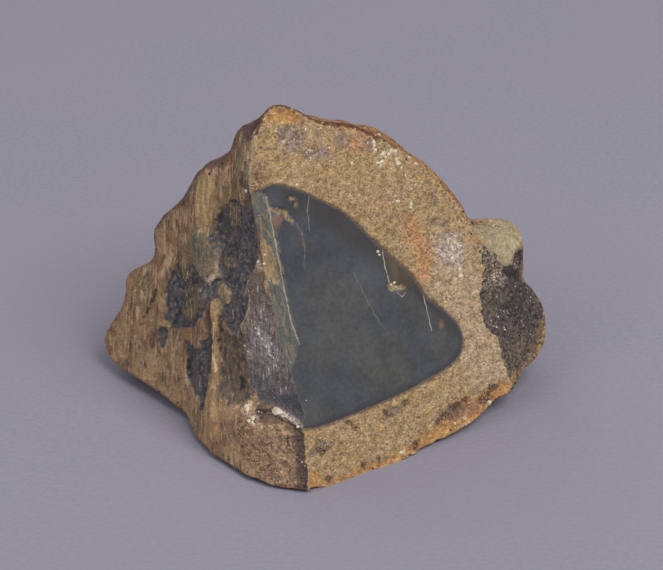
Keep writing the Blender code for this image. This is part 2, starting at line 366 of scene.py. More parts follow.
LEFT_MARKS = (
    Mark("patch", (
        ((-30.2, 42.4), (-27.7, 43.2), (-25.6, 43.1), (-24.9, 44.4), (-24, 44.1), (-22.8, 43.3),
         (-21.8, 41.5), (-20.5, 38.7), (-19.9, 35.6), (-20.1, 33.7), (-20.9, 31.9), (-21.2, 30.3),
         (-21.3, 28.5), (-21.5, 26.8), (-22.2, 25.8), (-23.5, 26.5), (-24.3, 27.9), (-26, 28.7),
         (-28, 28.6), (-29.5, 30.9), (-30, 32.9), (-31.4, 34), (-32.3, 33.3), (-32.9, 33.9),
         (-33.2, 35.8), (-33.5, 36.8), (-32.7, 38.4), (-32.4, 40)),
        ((-21.6, 27.1), (-20.8, 29), (-20, 27.4), (-19.8, 25.6), (-19.9, 24.1), (-20.6, 22.7),
         (-20.9, 21), (-22.1, 20.1), (-23.4, 21.5), (-24.8, 22.5), (-25.4, 24.6), (-24.5, 25.4),
         (-23.1, 26.2)),
        ((-40.3, 26.5), (-39.2, 26.1), (-38, 25.4), (-36.9, 26.7), (-36.2, 27.9), (-32.6, 27.3),
         (-29.5, 26.7), (-28.6, 27.4), (-27.6, 26.9), (-26.9, 25.2), (-28.1, 24.5), (-28.7, 22.8),
         (-29.2, 20.3), (-32.8, 17.2), (-34.1, 16.3), (-36.4, 14.9), (-38.8, 14.7), (-40.3, 15.6),
         (-41, 18.5), (-41.4, 21.6), (-41.2, 24.2)),
        ((-27.6, 17.3), (-26.9, 18.8), (-25.7, 18.8), (-25.1, 17.2), (-24.9, 15.4), (-25.1, 13.9),
         (-24.7, 12.2), (-24.5, 10.8), (-24.2, 9.4), (-24.1, 7.9), (-23.9, 5.3), (-24.7, 4.7),
         (-25.5, 6.5), (-27.5, 7.2), (-30.9, 6.2), (-32.6, 7.7), (-33.4, 9.9), (-33.8, 12.1),
         (-34.7, 13.5), (-33.4, 13.5), (-30.1, 13.9), (-28, 15.6)),
        ((-40.6, 13.8), (-39.4, 14.1), (-38.8, 12.8), (-38.8, 10.8), (-39.7, 10), (-40.5, 11.3)),
        ((-29.9, 27.1), (-28.8, 28.3), (-27.3, 29.0), (-25.0, 30.4), (-22.8, 30.4), (-21.4, 28.0),
         (-23.2, 25.7), (-24.9, 25.0), (-27.6, 25.4), (-29.1, 26.0)),
    )),
    Mark("island", (
        ((-37, 23.8), (-34.4, 24.7), (-30.2, 25.3), (-29.3, 24), (-29.9, 22.1), (-32.7, 18.9),
         (-34.6, 17.2), (-36, 17.4), (-37.3, 18.8), (-36.3, 20.2), (-37.4, 21.1)),
        ((-31, 41.1), (-29.2, 42.2), (-26.5, 42.1), (-25.6, 40.4), (-26.3, 38.6), (-28.8, 37.7),
         (-30.3, 39.3)),
        ((-28.6, 31.3), (-27.9, 32.3), (-25.8, 32.8), (-24.5, 32.1), (-25.9, 30.9), (-27.6, 30.6)),
        ((-39.9, 26.6), (-37.7, 27.5), (-36.2, 26.6), (-36.3, 24.6), (-37.8, 23.6), (-39.2, 24.6)),
    )),
    Mark("flake", (
        ((-27.8, 27.2), (-26.8, 28.0), (-24.4, 27.6), (-23.8, 26.8), (-24.3, 25.5), (-25.4, 25.0),
         (-26.7, 25.8)),
    )),
    Mark("lobe", (
        ((-38.1, 31.6), (-36, 34), (-35.1, 35.1), (-33.9, 34.8), (-32.8, 33.7), (-31.6, 34),
         (-30, 32.9), (-29.5, 30.9), (-29, 29.6), (-29.7, 28.1), (-29.6, 26.9), (-32.6, 27.3),
         (-36.3, 28.1), (-38, 29.7)),
    )),
    # The lit band: a yellowish-brown facet on a rib, painted paler where the rib faces the light.
    Mark("lit_band", (
        ((-38.5, 44.5), (-37.5, 45.4), (-36.2, 45.1), (-35.4, 43), (-34.1, 39.7), (-33.9, 37.4),
         (-34, 35.5), (-34.5, 34.6), (-35.5, 35.1), (-36.5, 37), (-37.5, 40.4), (-38.5, 42.8)),
    )),
    Mark("strip", (
        ((-26.9, 50), (-26, 51.2), (-24.2, 49.1), (-21.9, 47.3), (-20.6, 46), (-19.4, 43.7),
         (-18.5, 40.4), (-18.2, 37.8), (-18.8, 36.1), (-20, 37.1), (-20.9, 39.5), (-22, 42.2),
         (-23.2, 44.1), (-25, 45.8), (-26, 47.6)),
    )),
    Mark("streaked", (
        ((-24.9, 22.8), (-23.4, 21.5), (-22.1, 20.1), (-20.9, 21), (-20.4, 22.8), (-19.4, 21.4),
         (-18.7, 18.9), (-17.6, 16.4), (-17.1, 13.8), (-16.1, 11.9), (-15.8, 10.7), (-16.1, 9.8),
         (-17.9, 10.2), (-20.1, 10.4), (-21.9, 10.9), (-23, 13.3), (-23.2, 16), (-24.3, 18.5),
         (-24.9, 21.1)),
        ((-22.9, 11.4), (-20.1, 12.9), (-17.2, 13.2), (-15.0, 12.3), (-14.9, 10.6), (-16.7, 9.6),
         (-18.7, 8.9), (-21.8, 9.0)),
    )),
    Mark("thread", (
        ((-27.9, 24.6), (-26.2, 25.2), (-24.9, 22), (-24.3, 18.5), (-23.4, 15), (-22.7, 13),
         (-22, 10), (-20.9, 7.7), (-19.2, 4.6), (-18.9, 1.9), (-21.2, 0.7), (-22.6, 3),
         (-23.9, 5.3), (-23.6, 7.4), (-23.8, 9.6), (-24.1, 11.3), (-24.6, 14.5), (-25.1, 17.2),
         (-25.5, 19.9), (-26.7, 21.7)),
    )),
    Mark("facet", (
        ((-20.8, 32.7), (-19.6, 33.5), (-17.8, 31.8), (-15.5, 29.6), (-14.1, 27.4), (-12.6, 25.1),
         (-11, 23), (-9.5, 20.8), (-8, 18.6), (-6.6, 16.3), (-5.1, 14.1), (-4.1, 12), (-5.9, 11.3),
         (-8.7, 11.9), (-11, 12.1), (-13.3, 11.9), (-14.9, 12), (-16.4, 13.1), (-17.1, 14.6),
         (-17.6, 16.4), (-18.7, 18.9), (-19.4, 21.4), (-19.7, 24.2), (-19.4, 25.8), (-19.9, 27.8),
         (-20.9, 29.3), (-20.9, 31.1)),
    )),
    Mark("foot", (
        ((-14.9, 12), (-13.6, 12.9), (-11.2, 13.5), (-8.1, 14.5), (-5.9, 14.7), (-3.9, 11.2),
         (-4.5, 10.1), (-6.8, 10.8), (-9.2, 11.2), (-11.1, 11.2), (-12.9, 10.9)),
    )),
    Mark("glint", (
        ((-17, 23), (-15.9, 23.8), (-14.1, 23), (-12.5, 21.8), (-11.3, 20), (-12.9, 18.9),
         (-14.6, 19.4), (-16.1, 20.3)),
    )),
    Mark("block", (
        ((-16.3, 9.9), (-14.1, 9.9), (-12.4, 10.4), (-11, 11.0), (-9.2, 11.1), (-6.8, 10.6),
         (-4.7, 10.0), (-3.4, 9.2), (-1.2, 7.3), (0.3, 4.2), (1.2, -0.7), (-1.9, -1.9),
         (-5.1, -1.1), (-8.1, -0.4), (-10.7, 1.5), (-13.2, 3), (-14.7, 5.7), (-15.5, 8.2)),
    )),
    Mark("block_edge", (
        ((-5, 9.9), (-3.5, 9.7), (-2.1, 8.7), (0.2, 6), (1.7, 3), (2.1, 0.3), (-0.4, -0.8),
         (-1.9, 3.3), (-2.9, 5.7), (-4.2, 7.1), (-5.2, 8.8)),
        ((-13.8, 10.1), (-12.4, 10.9), (-10.7, 11.4), (-9.1, 10.5), (-7.7, 10.3), (-5, 9.9),
         (-5.2, 8.8), (-6.8, 9.4), (-8.1, 9.7), (-9.1, 8.7), (-11.5, 8.9)),
    )),
    Mark("block_rim", (
        ((-11, 11.2), (-9.9, 11.7), (-8.4, 11.5), (-6.6, 11.1), (-4.6, 10.2), (-3.6, 9.3),
         (-4.1, 8.7), (-5.3, 9.4), (-7, 9.9), (-8.4, 10.4), (-9.7, 10.5)),
    )),
    Mark("shadowed", (
        ((-8.1, 10.7), (-6.4, 10.4), (-4.6, 9.7), (-5.3, 9.3), (-6.9, 9.8)),
        ((-28, 59.8), (-29.3, 58), (-31.3, 56.4), (-32.4, 54.2), (-29.4, 53.5), (-27.5, 53.3),
         (-27.7, 55.6), (-27.3, 57.1)),
        ((-26.7, 49.1), (-25.2, 48.2), (-25.3, 46), (-26.5, 46.5), (-26.9, 48.2)),
        ((-28.9, 24.2), (-27.9, 24.6), (-26.0, 19.7), (-23.7, 11.5), (-23.3, 9.1), (-24.5, 10.7),
         (-26.5, 17.5), (-28.2, 20.6)),
    )),
    Mark("nicks", (), (
        (-15.9, 10.1, 0.9, 0.22, -70), (-12.4, 9.9, 0.45, 0.4, 0), (-11.4, 10.1, 0.4, 0.3, 30),
        (-7.6, 4.4, 0.7, 0.32, -50), (-7.6, 8.7, 0.45, 0.3, 0), (-5.6, 7.0, 0.7, 0.25, -70),
        (-2.1, 5.1, 0.8, 0.45, -75), (-1.3, 2.6, 0.6, 0.3, -80), (-12.0, 8.6, 0.35, 0.3, 0),
        (-27.6, 33.4, 1.0, 0.25, 70), (-22.0, 43.6, 1.4, 0.3, -60), (-44.6, 15.4, 2.6, 0.2, 75),
        (-37.9, 16.8, 1.8, 0.4, 80), (-24.4, 20.2, 2.4, 0.25, -76), (-18.0, 12.6, 1.4, 0.35, -80),
    )),
    Mark("scuff", (), (
        (-14.6, 9.7, 1.0, 0.5, -30), (-12.3, 8.8, 1.2, 0.55, -50), (-11.6, 8.2, 0.8, 0.4, -30),
        (-29.4, 28.0, 1.2, 0.4, 50), (-33.0, 7.4, 1.3, 0.28, -62), (-18.9, 34.6, 0.8, 0.5, -30),
    )),
)

KNOB_MARKS = (
    Mark("cap", (
        ((3.4, 16.5), (9.3, 16.0), (14.0, 12.5), (15.7, 7.7), (12.9, 5.9), (10.7, 6.3), (9.7, 5.6),
         (9.0, 4.3), (6.9, 4.8), (5.8, 6.1), (5.3, 7.5), (4.3, 9.1), (3.2, 10.3), (2.3, 11.9)),
    )),
    Mark("hollow", (
        ((11.2, 6.0), (12.0, 5.8), (12.6, 4.2), (11.6, 2.8), (10.6, 3.0), (11.1, 4.6)),
        ((5.8, 4.5), (7.4, 4.6), (8.7, 3.6), (9.9, 2.4), (10.3, 0.6), (8.4, 1.0), (7.2, 2.5),
         (5.9, 3.7)),
    )),
    Mark("crumbs", (
        ((1.1, 5.2), (3.4, 5.0), (5.0, 4.7), (6.8, 3.5), (6.3, 2.7), (3.9, 2.6), (1.5, 3.7)),
    )),
    Mark("mixed", (
        ((2.8, 10.5), (4.3, 9.1), (5.3, 7.5), (5.8, 6.1), (6.9, 4.8), (5.9, 4.1), (6.5, 3.0),
         (3.9, 2.6), (1.0, 2.7), (-1.0, 3.6), (-0.4, 5.7), (0.9, 8.2)),
    )),
    Mark("heart", (), (
        (7.4, -3.6, 3.4, 4.6, 20),
    )),
    Mark("tawny", (
        ((-3.1, -4.8), (-0.5, -6.6), (4.5, -8.0), (10.0, -9.3), (8.3, -12.5), (3.0, -13.2),
         (-1.0, -13.3), (-1.6, -9.9)),
        ((-0.6, 2.6), (1.9, 2.6), (1.0, -1.8), (-1.4, -2.0)),
    )),
    Mark("lip", (
        ((13.4, -4.8), (11.8, -10.1), (9.5, -13.1), (6.2, -14.6), (0.9, -15.4), (-2.7, -14.1),
         (-1.3, -12.8), (1.8, -13.1), (4.5, -12.7), (6.8, -11.8), (9.1, -9.9)),
    )),
)


def mark_named(marks: tuple[Mark, ...], name: str) -> Mark:
    """The mark with this name."""
    return next(mark for mark in marks if mark.name == name)


# Grains that stand out on a break: the place along and up it, and the size.
MAIN_GRAINS = (
    (29.5, 52.6, 0.46), (30.9, 51.7, 0.52), (30.3, 50.4, 0.46), (29.5, 50.4, 0.36), (29.7, 49.7, 0.36),
    (31.2, 51.0, 0.30), (32.6, 51.7, 0.56), (33.4, 51.4, 0.40), (32.0, 51.3, 0.44), (33.3, 50.1, 0.36),
    (33.3, 49.4, 0.42), (33.7, 48.4, 0.26), (24.5, 51.7, 0.30), (29.7, 54.0, 0.32), (29.6, 53.5, 0.28),
    (31.9, 55.0, 0.34), (31.1, 44.0, 0.26), (31.4, 43.0, 0.34), (33.8, 41.8, 0.30), (33.6, 41.2, 0.30),
    (35.5, 44.8, 0.28), (34.1, 47.0, 0.20), (40.4, 32.8, 0.30), (39.7, 31.8, 0.30), (40.2, 30.5, 0.34),
    (39.0, 30.3, 0.24), (40.0, 28.0, 0.34), (39.9, 26.9, 0.42), (39.3, 46.9, 0.24), (35.8, 49.8, 0.24),
    (36.8, 48.3, 0.28), (13.1, 50.9, 0.30), (12.8, 58.6, 0.30), (11.9, 60.7, 0.28), (17.5, 59.6, 0.24),
    (25.1, 35.6, 0.28), (25.2, 35.0, 0.24), (25.9, 29.3, 0.26), (26.6, 29.5, 0.28), (26.8, 28.7, 0.24),
    (33.6, 2.4, 0.32), (39.3, 3.6, 0.38), (31.4, 2.2, 0.26), (19.5, 0.6, 0.36), (20.2, 0.7, 0.30),
    (4.0, 41.0, 0.22), (3.5, 39.6, 0.24),
)
LEFT_GRAINS = (
    (-9.5, 11.2, 0.80), (-6.9, 10.7, 0.26), (-5.2, 10.0, 0.28), (-7.7, 10.9, 0.26),
    (-15.0, 9.9, 0.38), (-14.4, 9.5, 0.32), (-12.4, 8.9, 0.38), (-12.0, 8.3, 0.30), (-12.8, 8.2, 0.28),
    (-29.4, 27.6, 0.26), (-29.2, 28.4, 0.22),
    (-16.4, 22.8, 0.30), (-15.6, 22.2, 0.32), (-14.6, 21.2, 0.34), (-13.6, 20.0, 0.28), (-17.2, 23.6, 0.24),
    (-18.8, 19.6, 0.24), (-17.9, 18.9, 0.22), (-12.0, 18.6, 0.22), (-19.5, 35.0, 0.30), (-24.6, 46.2, 0.30),
    (-37.6, 24.0, 0.20), (-37.4, 24.6, 0.18),
)


def on_plane(along: np.ndarray, up: np.ndarray) -> np.ndarray:
    """Places on a plane as points with no third part."""
    return np.stack([along, up, np.zeros_like(up)], axis=1)


def mesh_points(bm: bmesh.types.BMesh) -> np.ndarray:
    """The mesh's points, one a row."""
    return np.array([v.co for v in bm.verts])


def place_points(bm: bmesh.types.BMesh, points: np.ndarray) -> None:
    """Puts the mesh's points at the rows of an array."""
    for vertex, point in zip(bm.verts, points.tolist()):
        vertex.co = point


def object_from(bm: bmesh.types.BMesh, name: str) -> bpy.types.Object:
    """Makes an object of the mesh.

    Args:
        bm: The mesh, which is freed.
        name: The object's name.

    Returns:
        The object, linked to the scene.
    """
    bmesh.ops.recalc_face_normals(bm, faces=bm.faces)
    mesh = bpy.data.meshes.new(name)
    bm.to_mesh(mesh)
    bm.free()
    obj = bpy.data.objects.new(name, mesh)
    bpy.context.collection.objects.link(obj)
    return obj


def dress(obj: bpy.types.Object, *finishes: str) -> None:
    """Gives the object a material slot for each finish, by its name."""
    for finish in finishes:
        obj.data.materials.append(bpy.data.materials[finish])


def apply_modifiers(obj: bpy.types.Object) -> None:
    """Makes what the object's modifiers give its own mesh.

    Args:
        obj: The object, which keeps its name and loses its modifiers.
    """
    graph = bpy.context.evaluated_depsgraph_get()
    mesh = bpy.data.meshes.new_from_object(obj.evaluated_get(graph))
    obj.modifiers.clear()
    obj.data = mesh


def combine(obj: bpy.types.Object, others: list[bpy.types.Object], operation: str) -> None:
    """Joins or cuts the object with others, which are then removed.

    Args:
        obj: The object that changes.
        others: The objects that it is joined to or cut by.
        operation: UNION or DIFFERENCE.
    """
    for other in others:
        modifier = obj.modifiers.new(other.name, "BOOLEAN")
        modifier.operation = operation
        modifier.solver = "MANIFOLD"
        modifier.material_mode = "TRANSFER"
        modifier.object = other
        other.hide_render = True
    apply_modifiers(obj)
    for other in others:
        bpy.data.objects.remove(other)


@dataclass
class WholeNodule:
    """The nodule before it broke: a ball pressed flat on several sides, with a lobed knob."""

    middle: Triple = (0.0, 4.0, 23.0)
    # For each side that is pressed flat: the azimuth and tilt that it faces, and how far it is.
    sides: tuple = (
        (160, 64, 27.4),
        (112, 38, 26.6),
        (98, 2, 29.6),
        (85, -48, 38.2),
        (178, 8, 28.0),
        (-170, 45, 32.0),
        (-92, 36, 27.9),
        (-130, 22, 28.0),
        (-100, -5, 43.4),
        (-75, -58, 38.1),
        (180, -50, 30.0),
        (0, -90, 23.1),
        (-10, 5, 44.0),
    )
    side_sharpness: float = 10.0
    calm: float = 0.35
    calm_reach: float = 0.3
    # Lumps and warts: their size and their height.
    lump: tuple[float, float] = (11.0, 0.9)
    wart: tuple[float, float] = (3.5, 0.35)
    # Swells and hollows: where, how high and how wide.
    swells: tuple = (
        ((-8.0, 2.5, 56.0), 3.6, 3.5),
        ((-11.5, 5.5, 52.5), -0.7, 4.0),
        ((-16.0, 6.0, 47.5), -1.3, 5.0),
        ((-21.5, 5.5, 42.5), 1.6, 4.5),
        ((-29.5, 8.0, 31.0), 1.7, 4.5),
        ((-30.5, 7.0, 23.6), -2.1, 3.0),
        ((-34.5, 9.0, 19.3), 1.3, 3.0),
        ((-36.5, 8.0, 12.5), -1.6, 4.0),
        ((-39.3, 7.5, 3.6), 2.7, 4.5),
        ((-29.5, -3.0, 1.5), -1.2, 6.0),
        ((9.0, 12.0, 49.0), -1.0, 9.0),
        ((0.5, 9.5, 0.0), 1.1, 14.0),
        ((31.0, -9.0, 3.0), 0.8, 4.5),
        ((-16.6, 14.6, 43.0), -3.2, 5.0),
        ((-12.5, 13.5, 47.5), -1.6, 4.0),
        ((-32.4, 11.0, 21.3), -2.2, 2.2),
        ((-32.2, 8.0, 22.0), -1.4, 2.2),
        ((-33.0, 14.5, 21.0), -1.2, 2.6),
        ((-4.8, 3.0, 55.2), 1.0, 2.8),
        ((-13.8, 2.6, 51.4), 2.2, 3.2),
        ((2.0, 7.0, 52.0), -0.9, 3.2),
        ((5.0, 22.5, 43.5), -1.5, 7.0),
        ((12.0, 23.5, 39.5), -1.0, 6.0),
        ((3.5, 8.3, 51.4), 0.9, 3.5),
        ((8.3, 12.0, 48.6), 1.5, 4.0),
        ((13.0, 15.5, 45.5), 1.1, 4.0),
        ((5.0, -27.0, 0.2), 1.9, 5.0),
        ((13.0, -21.5, 0.3), 1.2, 5.0),
        ((-10.5, -26.0, -0.4), -0.9, 4.0),
    )
    # The knob's lobes: the middle, the half sizes and the power, which is 2 for a round one.
    lobes: tuple = (
        ((31.6, 4.6, 11.0), (9.6, 9.8, 9.0), 2.0),
        ((28.4, 9.4, 21.9), (8.1, 7.7, 5.8), 4.0),
        ((28.4, -2.8, 7.2), (7.8, 6.8, 6.6), 2.0),
        ((28.0, 6.0, 17.0), (8.0, 7.0, 8.0), 2.0),
    )
    rounds: int = 7
    blend_step: float = 0.6
    blend_rounds: int = 11
    pit_size: float = 1.9
    pit_range: tuple[float, float] = (0.30, 0.75)
    pit_depth: float = 0.22
    grain_size: float = 0.8
    grain_height: float = 0.09

    def radius(self, directions: np.ndarray) -> np.ndarray:
        """How far the skin is from the middle in each direction. The front has calmer lumps.

        Args:
            directions: Unit vectors from the middle, one a row.

        Returns:
            One distance for each direction, with lumps and swells.
        """
        outward = np.array([facing(azimuth, tilt) for azimuth, tilt, _ in self.sides])
        distance = np.array([distance for *_, distance in self.sides])
        pressed = np.maximum(directions @ outward.T / distance, 0) ** self.side_sharpness
        radius = pressed.sum(axis=1) ** (-1 / self.side_sharpness)
        points = directions * radius[:, None]
        behind = np.clip(directions[:, 1] + self.calm_reach, 0, 1)
        behind = self.calm + (1 - self.calm) * behind
        lump_size, lump_height = self.lump
        wart_size, wart_height = self.wart
        rise = behind * lump_height * layered_noise(points, lump_size, 1)
        rise += wart_height * layered_noise(points, wart_size, 2)
        for place, height, width in self.swells:
            away = np.linalg.norm(points + np.array(self.middle) - np.array(place), axis=1)
            rise += height * np.exp(-((away / width) ** 2))
        return radius + rise

    def depth(self, points: np.ndarray) -> np.ndarray:
        """How far points are below the skin, in millimetres.

        Args:
            points: One point a row, in millimetres.

        Returns:
            One depth for each point.
        """
        rays = points - np.array(self.middle) - SETTLED
        lengths = np.linalg.norm(rays, axis=1)
        depth = self.radius(rays / lengths[:, None]) - lengths
        for middle, half, power in self.lobes:
            shares = np.abs((points - np.array(middle) - SETTLED) / np.array(half))
            share = (shares**power).sum(axis=1) ** (1 / power)
            depth = np.maximum(depth, (1 - share) * min(half))
        return depth

    def pitted(self, points: np.ndarray) -> np.ndarray:
        """How deep in a pit each point of the skin is, from nought to one."""
        return soft_step(layered_noise(points, self.pit_size, 11, 2), *self.pit_range)

    def body(self) -> bpy.types.Object:
        """The nodule without its knob.

        Returns:
            The body as one object, in millimetres.
        """
        bm = bmesh.new()
        bmesh.ops.create_icosphere(bm, subdivisions=self.rounds, radius=1)
        directions = mesh_points(bm)
        directions /= np.linalg.norm(directions, axis=1, keepdims=True)
        points = directions * self.radius(directions)[:, None]
        place_points(bm, points + np.array(self.middle) + SETTLED)
        return object_from(bm, "flint_nodule")

    def lobe(self, middle: tuple, half: tuple, power: float) -> bpy.types.Object:
        """One lobe of the knob: rounded, or blocky where the power is above 2.

        Args:
            middle: Where it is.
            half: Half its size along each axis.
            power: How blocky it is.

        Returns:
            The lobe as one object, in millimetres.
        """
        bm = bmesh.new()
        bmesh.ops.create_icosphere(bm, subdivisions=5, radius=1)
        directions = mesh_points(bm)
        shares = (np.abs(directions) ** power).sum(axis=1) ** (1 / power)
        points = directions / shares[:, None] * np.array(half)
        wart_size, wart_height = self.wart
        points += directions * (wart_height * layered_noise(points, wart_size, 3))[:, None]
        place_points(bm, points + np.array(middle) + SETTLED)
        return object_from(bm, "lobe")

    def roughen(self, obj: bpy.types.Object) -> None:
        """Gives the skin its pits and grains.

        Args:
            obj: The whole nodule.
        """
        bm = bmesh.new()
        bm.from_mesh(obj.data)
        points = mesh_points(bm)
        normals = np.array([v.normal for v in bm.verts])
        pits = self.pitted(points)
        grains = smooth_noise(points, self.grain_size, 12)
        rise = self.grain_height * grains - self.pit_depth * pits
        place_points(bm, points + normals * rise[:, None])
        bm.to_mesh(obj.data)
        bm.free()

    def build(self) -> bpy.types.Object:
        """Makes the whole nodule, in millimetres.

        Returns:
            The nodule as one closed mesh.
        """
        obj = self.body()
        combine(obj, [self.lobe(*lobe) for lobe in self.lobes], "UNION")
        remesh = obj.modifiers.new("blend_remesh", "REMESH")
        remesh.mode = "VOXEL"
        remesh.voxel_size = self.blend_step
        smooth = obj.modifiers.new("blend_smooth", "SMOOTH")
        smooth.iterations = self.blend_rounds
        apply_modifiers(obj)
        self.roughen(obj)
        return obj


@dataclass
class Break:
    """A broken face, cut by a thick slab whose near side has the face's shape."""

    name: str
    surface: Surface
    plane: Plane
    marks: tuple[Mark, ...]
    low: tuple[float, float]
    high: tuple[float, float]
    step: float
    lean: float = 0.0
    rounds: int = 0
    skirt: float = 60.0
    thickness: float = 45.0

    def reach(self, mark: str, along: np.ndarray, up: np.ndarray) -> np.ndarray:
        """How far points of the face are inside the mark of that name."""
        return mark_named(self.marks, mark).reach(along, up)

    def inside(
        self, mark: str, along: np.ndarray, up: np.ndarray, low: float, high: float
    ) -> np.ndarray:
        """Nought where a mark's reach is below low, one where it is above high."""
        return soft_step(self.reach(mark, along, up), low, high)

    def height(self, along: np.ndarray, up: np.ndarray) -> np.ndarray:
        """The face's shape over places on it."""
        return self.relief(along + self.lean * up, up)

    def relief(self, across: np.ndarray, up: np.ndarray) -> np.ndarray:
        """How far the face stands out of its plane: a plain break is flat."""
        return np.zeros_like(across)

    def fine_relief(self, along: np.ndarray, up: np.ndarray) -> np.ndarray:
        """Small roughness that smoothing doesn't reach."""
        return np.zeros_like(along)

    def cutter(self) -> bpy.types.Object:
        """Makes the slab that cuts this face.

        Returns:
            The slab, in millimetres, with its faces in this face's material slot.
        """
        bm = bmesh.new()
        wide, tall = self.high[0] - self.low[0], self.high[1] - self.low[1]
        columns, rows = round(wide / self.step), round(tall / self.step)
        bmesh.ops.create_grid(bm, x_segments=columns, y_segments=rows, size=0.5)
        points = mesh_points(bm)
        points[:, 0] = (points[:, 0] + 0.5) * wide + self.low[0]
        points[:, 1] = (points[:, 1] + 0.5) * tall + self.low[1]
        points[:, 2] = self.relief(points[:, 0], points[:, 1])
        points[:, 0] -= self.lean * points[:, 1]
        place_points(bm, points)
        for _ in range(self.rounds):
            bmesh.ops.smooth_vert(bm, verts=bm.verts[:], factor=0.5, use_axis_z=True)
        points = mesh_points(bm)
        points[:, 2] += self.fine_relief(points[:, 0], points[:, 1])
        place_points(bm, points)
        middle = points[:, :2].mean(axis=0)
        rim = [edge for edge in bm.edges if edge.is_boundary]
        grown = bmesh.ops.extrude_edge_only(bm, edges=rim)["geom"]
        for vertex in (v for v in grown if isinstance(v, bmesh.types.BMVert)):
            away = np.array(vertex.co[:2]) - middle
            away *= 1 + self.skirt / np.linalg.norm(away)
            vertex.co = (*(middle + away), 0.0)
        raised = bmesh.ops.extrude_face_region(bm, geom=bm.faces[:])["geom"]
        for vertex in (v for v in raised if isinstance(v, bmesh.types.BMVert)):
            vertex.co.z = self.thickness
        bm.transform(self.plane.matrix())
        obj = object_from(bm, self.name)
        dress(obj, *(slot.finish for slot in Surface))
        faces = obj.data.polygons
        faces.foreach_set("material_index", [self.surface.value] * len(faces))
        return obj


@dataclass
class MainBreak(Break):
    """The nearly flat face across the core and its rind."""

    wave: tuple[float, float] = (16.0, 0.25)
    rind_edge: tuple[float, float] = (-0.1, 0.5)
    # How high each mark stands, and over what length it gets there.
    dents: tuple = (
        ("smudge", -0.22, 0.35),
        ("iron", -0.3, 0.8),
        ("dark", -0.3, 0.3),
        ("rust", -0.10, 0.4),
        ("gloss", -0.14, 0.6),
        ("sheen_patch", -0.12, 0.6),
        ("ochre", -0.2, 0.3),
    )
    scar_stretch: Triple = (1.0, 0.3, 1.0)

    def relief(self, across: np.ndarray, up: np.ndarray) -> np.ndarray:
        """The face's slow waves."""
        size, height = self.wave
        return height * layered_noise(on_plane(across, up), size, 4)

    def fine_relief(self, along: np.ndarray, up: np.ndarray) -> np.ndarray:
        """The rind's grain round the smooth core, with its hollows and its flaked rim.

        Args:
            along: Each point's place along the break.
            up: Each point's place up the break.

        Returns:
            How far each point stands out of the plane, in millimetres.
        """
        flat = on_plane(along, up)
        rind = soft_step(-self.reach("core", along, up), *self.rind_edge)
        rise = rind * (0.075 * smooth_noise(flat, 0.95, 21) + 0.05 * layered_noise(flat, 2.6, 22))
        for mark, height, run in self.dents:
            rise += height * self.inside(mark, along, up, -0.2, run)
        flaked = self.inside("flaked", along, up, -0.1, 0.35)
        scars = smooth_noise(flat * np.array(self.scar_stretch), 1.3, 25)
        return rise - flaked * (0.2 + 0.16 * scars)


@dataclass
class KnobBreak(Break):
    """The granular face across the knob."""

    wave: tuple[float, float] = (5.0, 0.3)
    # The slow rise and fall: places up the face, and their heights.
    profile: tuple = (
        (-13.0, 0.25), (-9.0, 0.05), (-5.5, -0.05), (-3.5, -0.45), (0.0, -0.5), (4.0, -0.4), (8.0, -0.2),
    )

    # Kinds of roughness: each is a height, a size and a seed.
    coarse: tuple = ((0.2, 1.25, 23), (0.12, 0.7, 24))
    cap_smoothness: float = 0.7
    cap_height: float = 0.3
    hollow_depth: float = 0.45

    def relief(self, across: np.ndarray, up: np.ndarray) -> np.ndarray:
        """The face's bumps on its slow rise and fall.

        Args:
            across: Each point's place across the break, with its lean taken out.
            up: Each point's place up the break.

        Returns:
            How far each point stands out of the plane, in millimetres.
        """
        size, height = self.wave
        bumps = height * layered_noise(on_plane(across, up), size, 5)
        return bumps + np.interp(up, *np.array(self.profile).T)

    def fine_relief(self, along: np.ndarray, up: np.ndarray) -> np.ndarray:
        """The knob's coarse grain, under a smoother cap.

        Args:
            along: Each point's place along the break.
            up: Each point's place up the break.

        Returns:
            How far each point stands out of the plane, in millimetres.
        """
        capped = self.inside("cap", along, up, -0.3, 0.6)
        hollow = self.inside("hollow", along, up, -0.2, 0.5)
        grain = grit(on_plane(along, up), self.coarse) * (1 - self.cap_smoothness * capped)
        return grain + self.cap_height * capped - self.hollow_depth * hollow


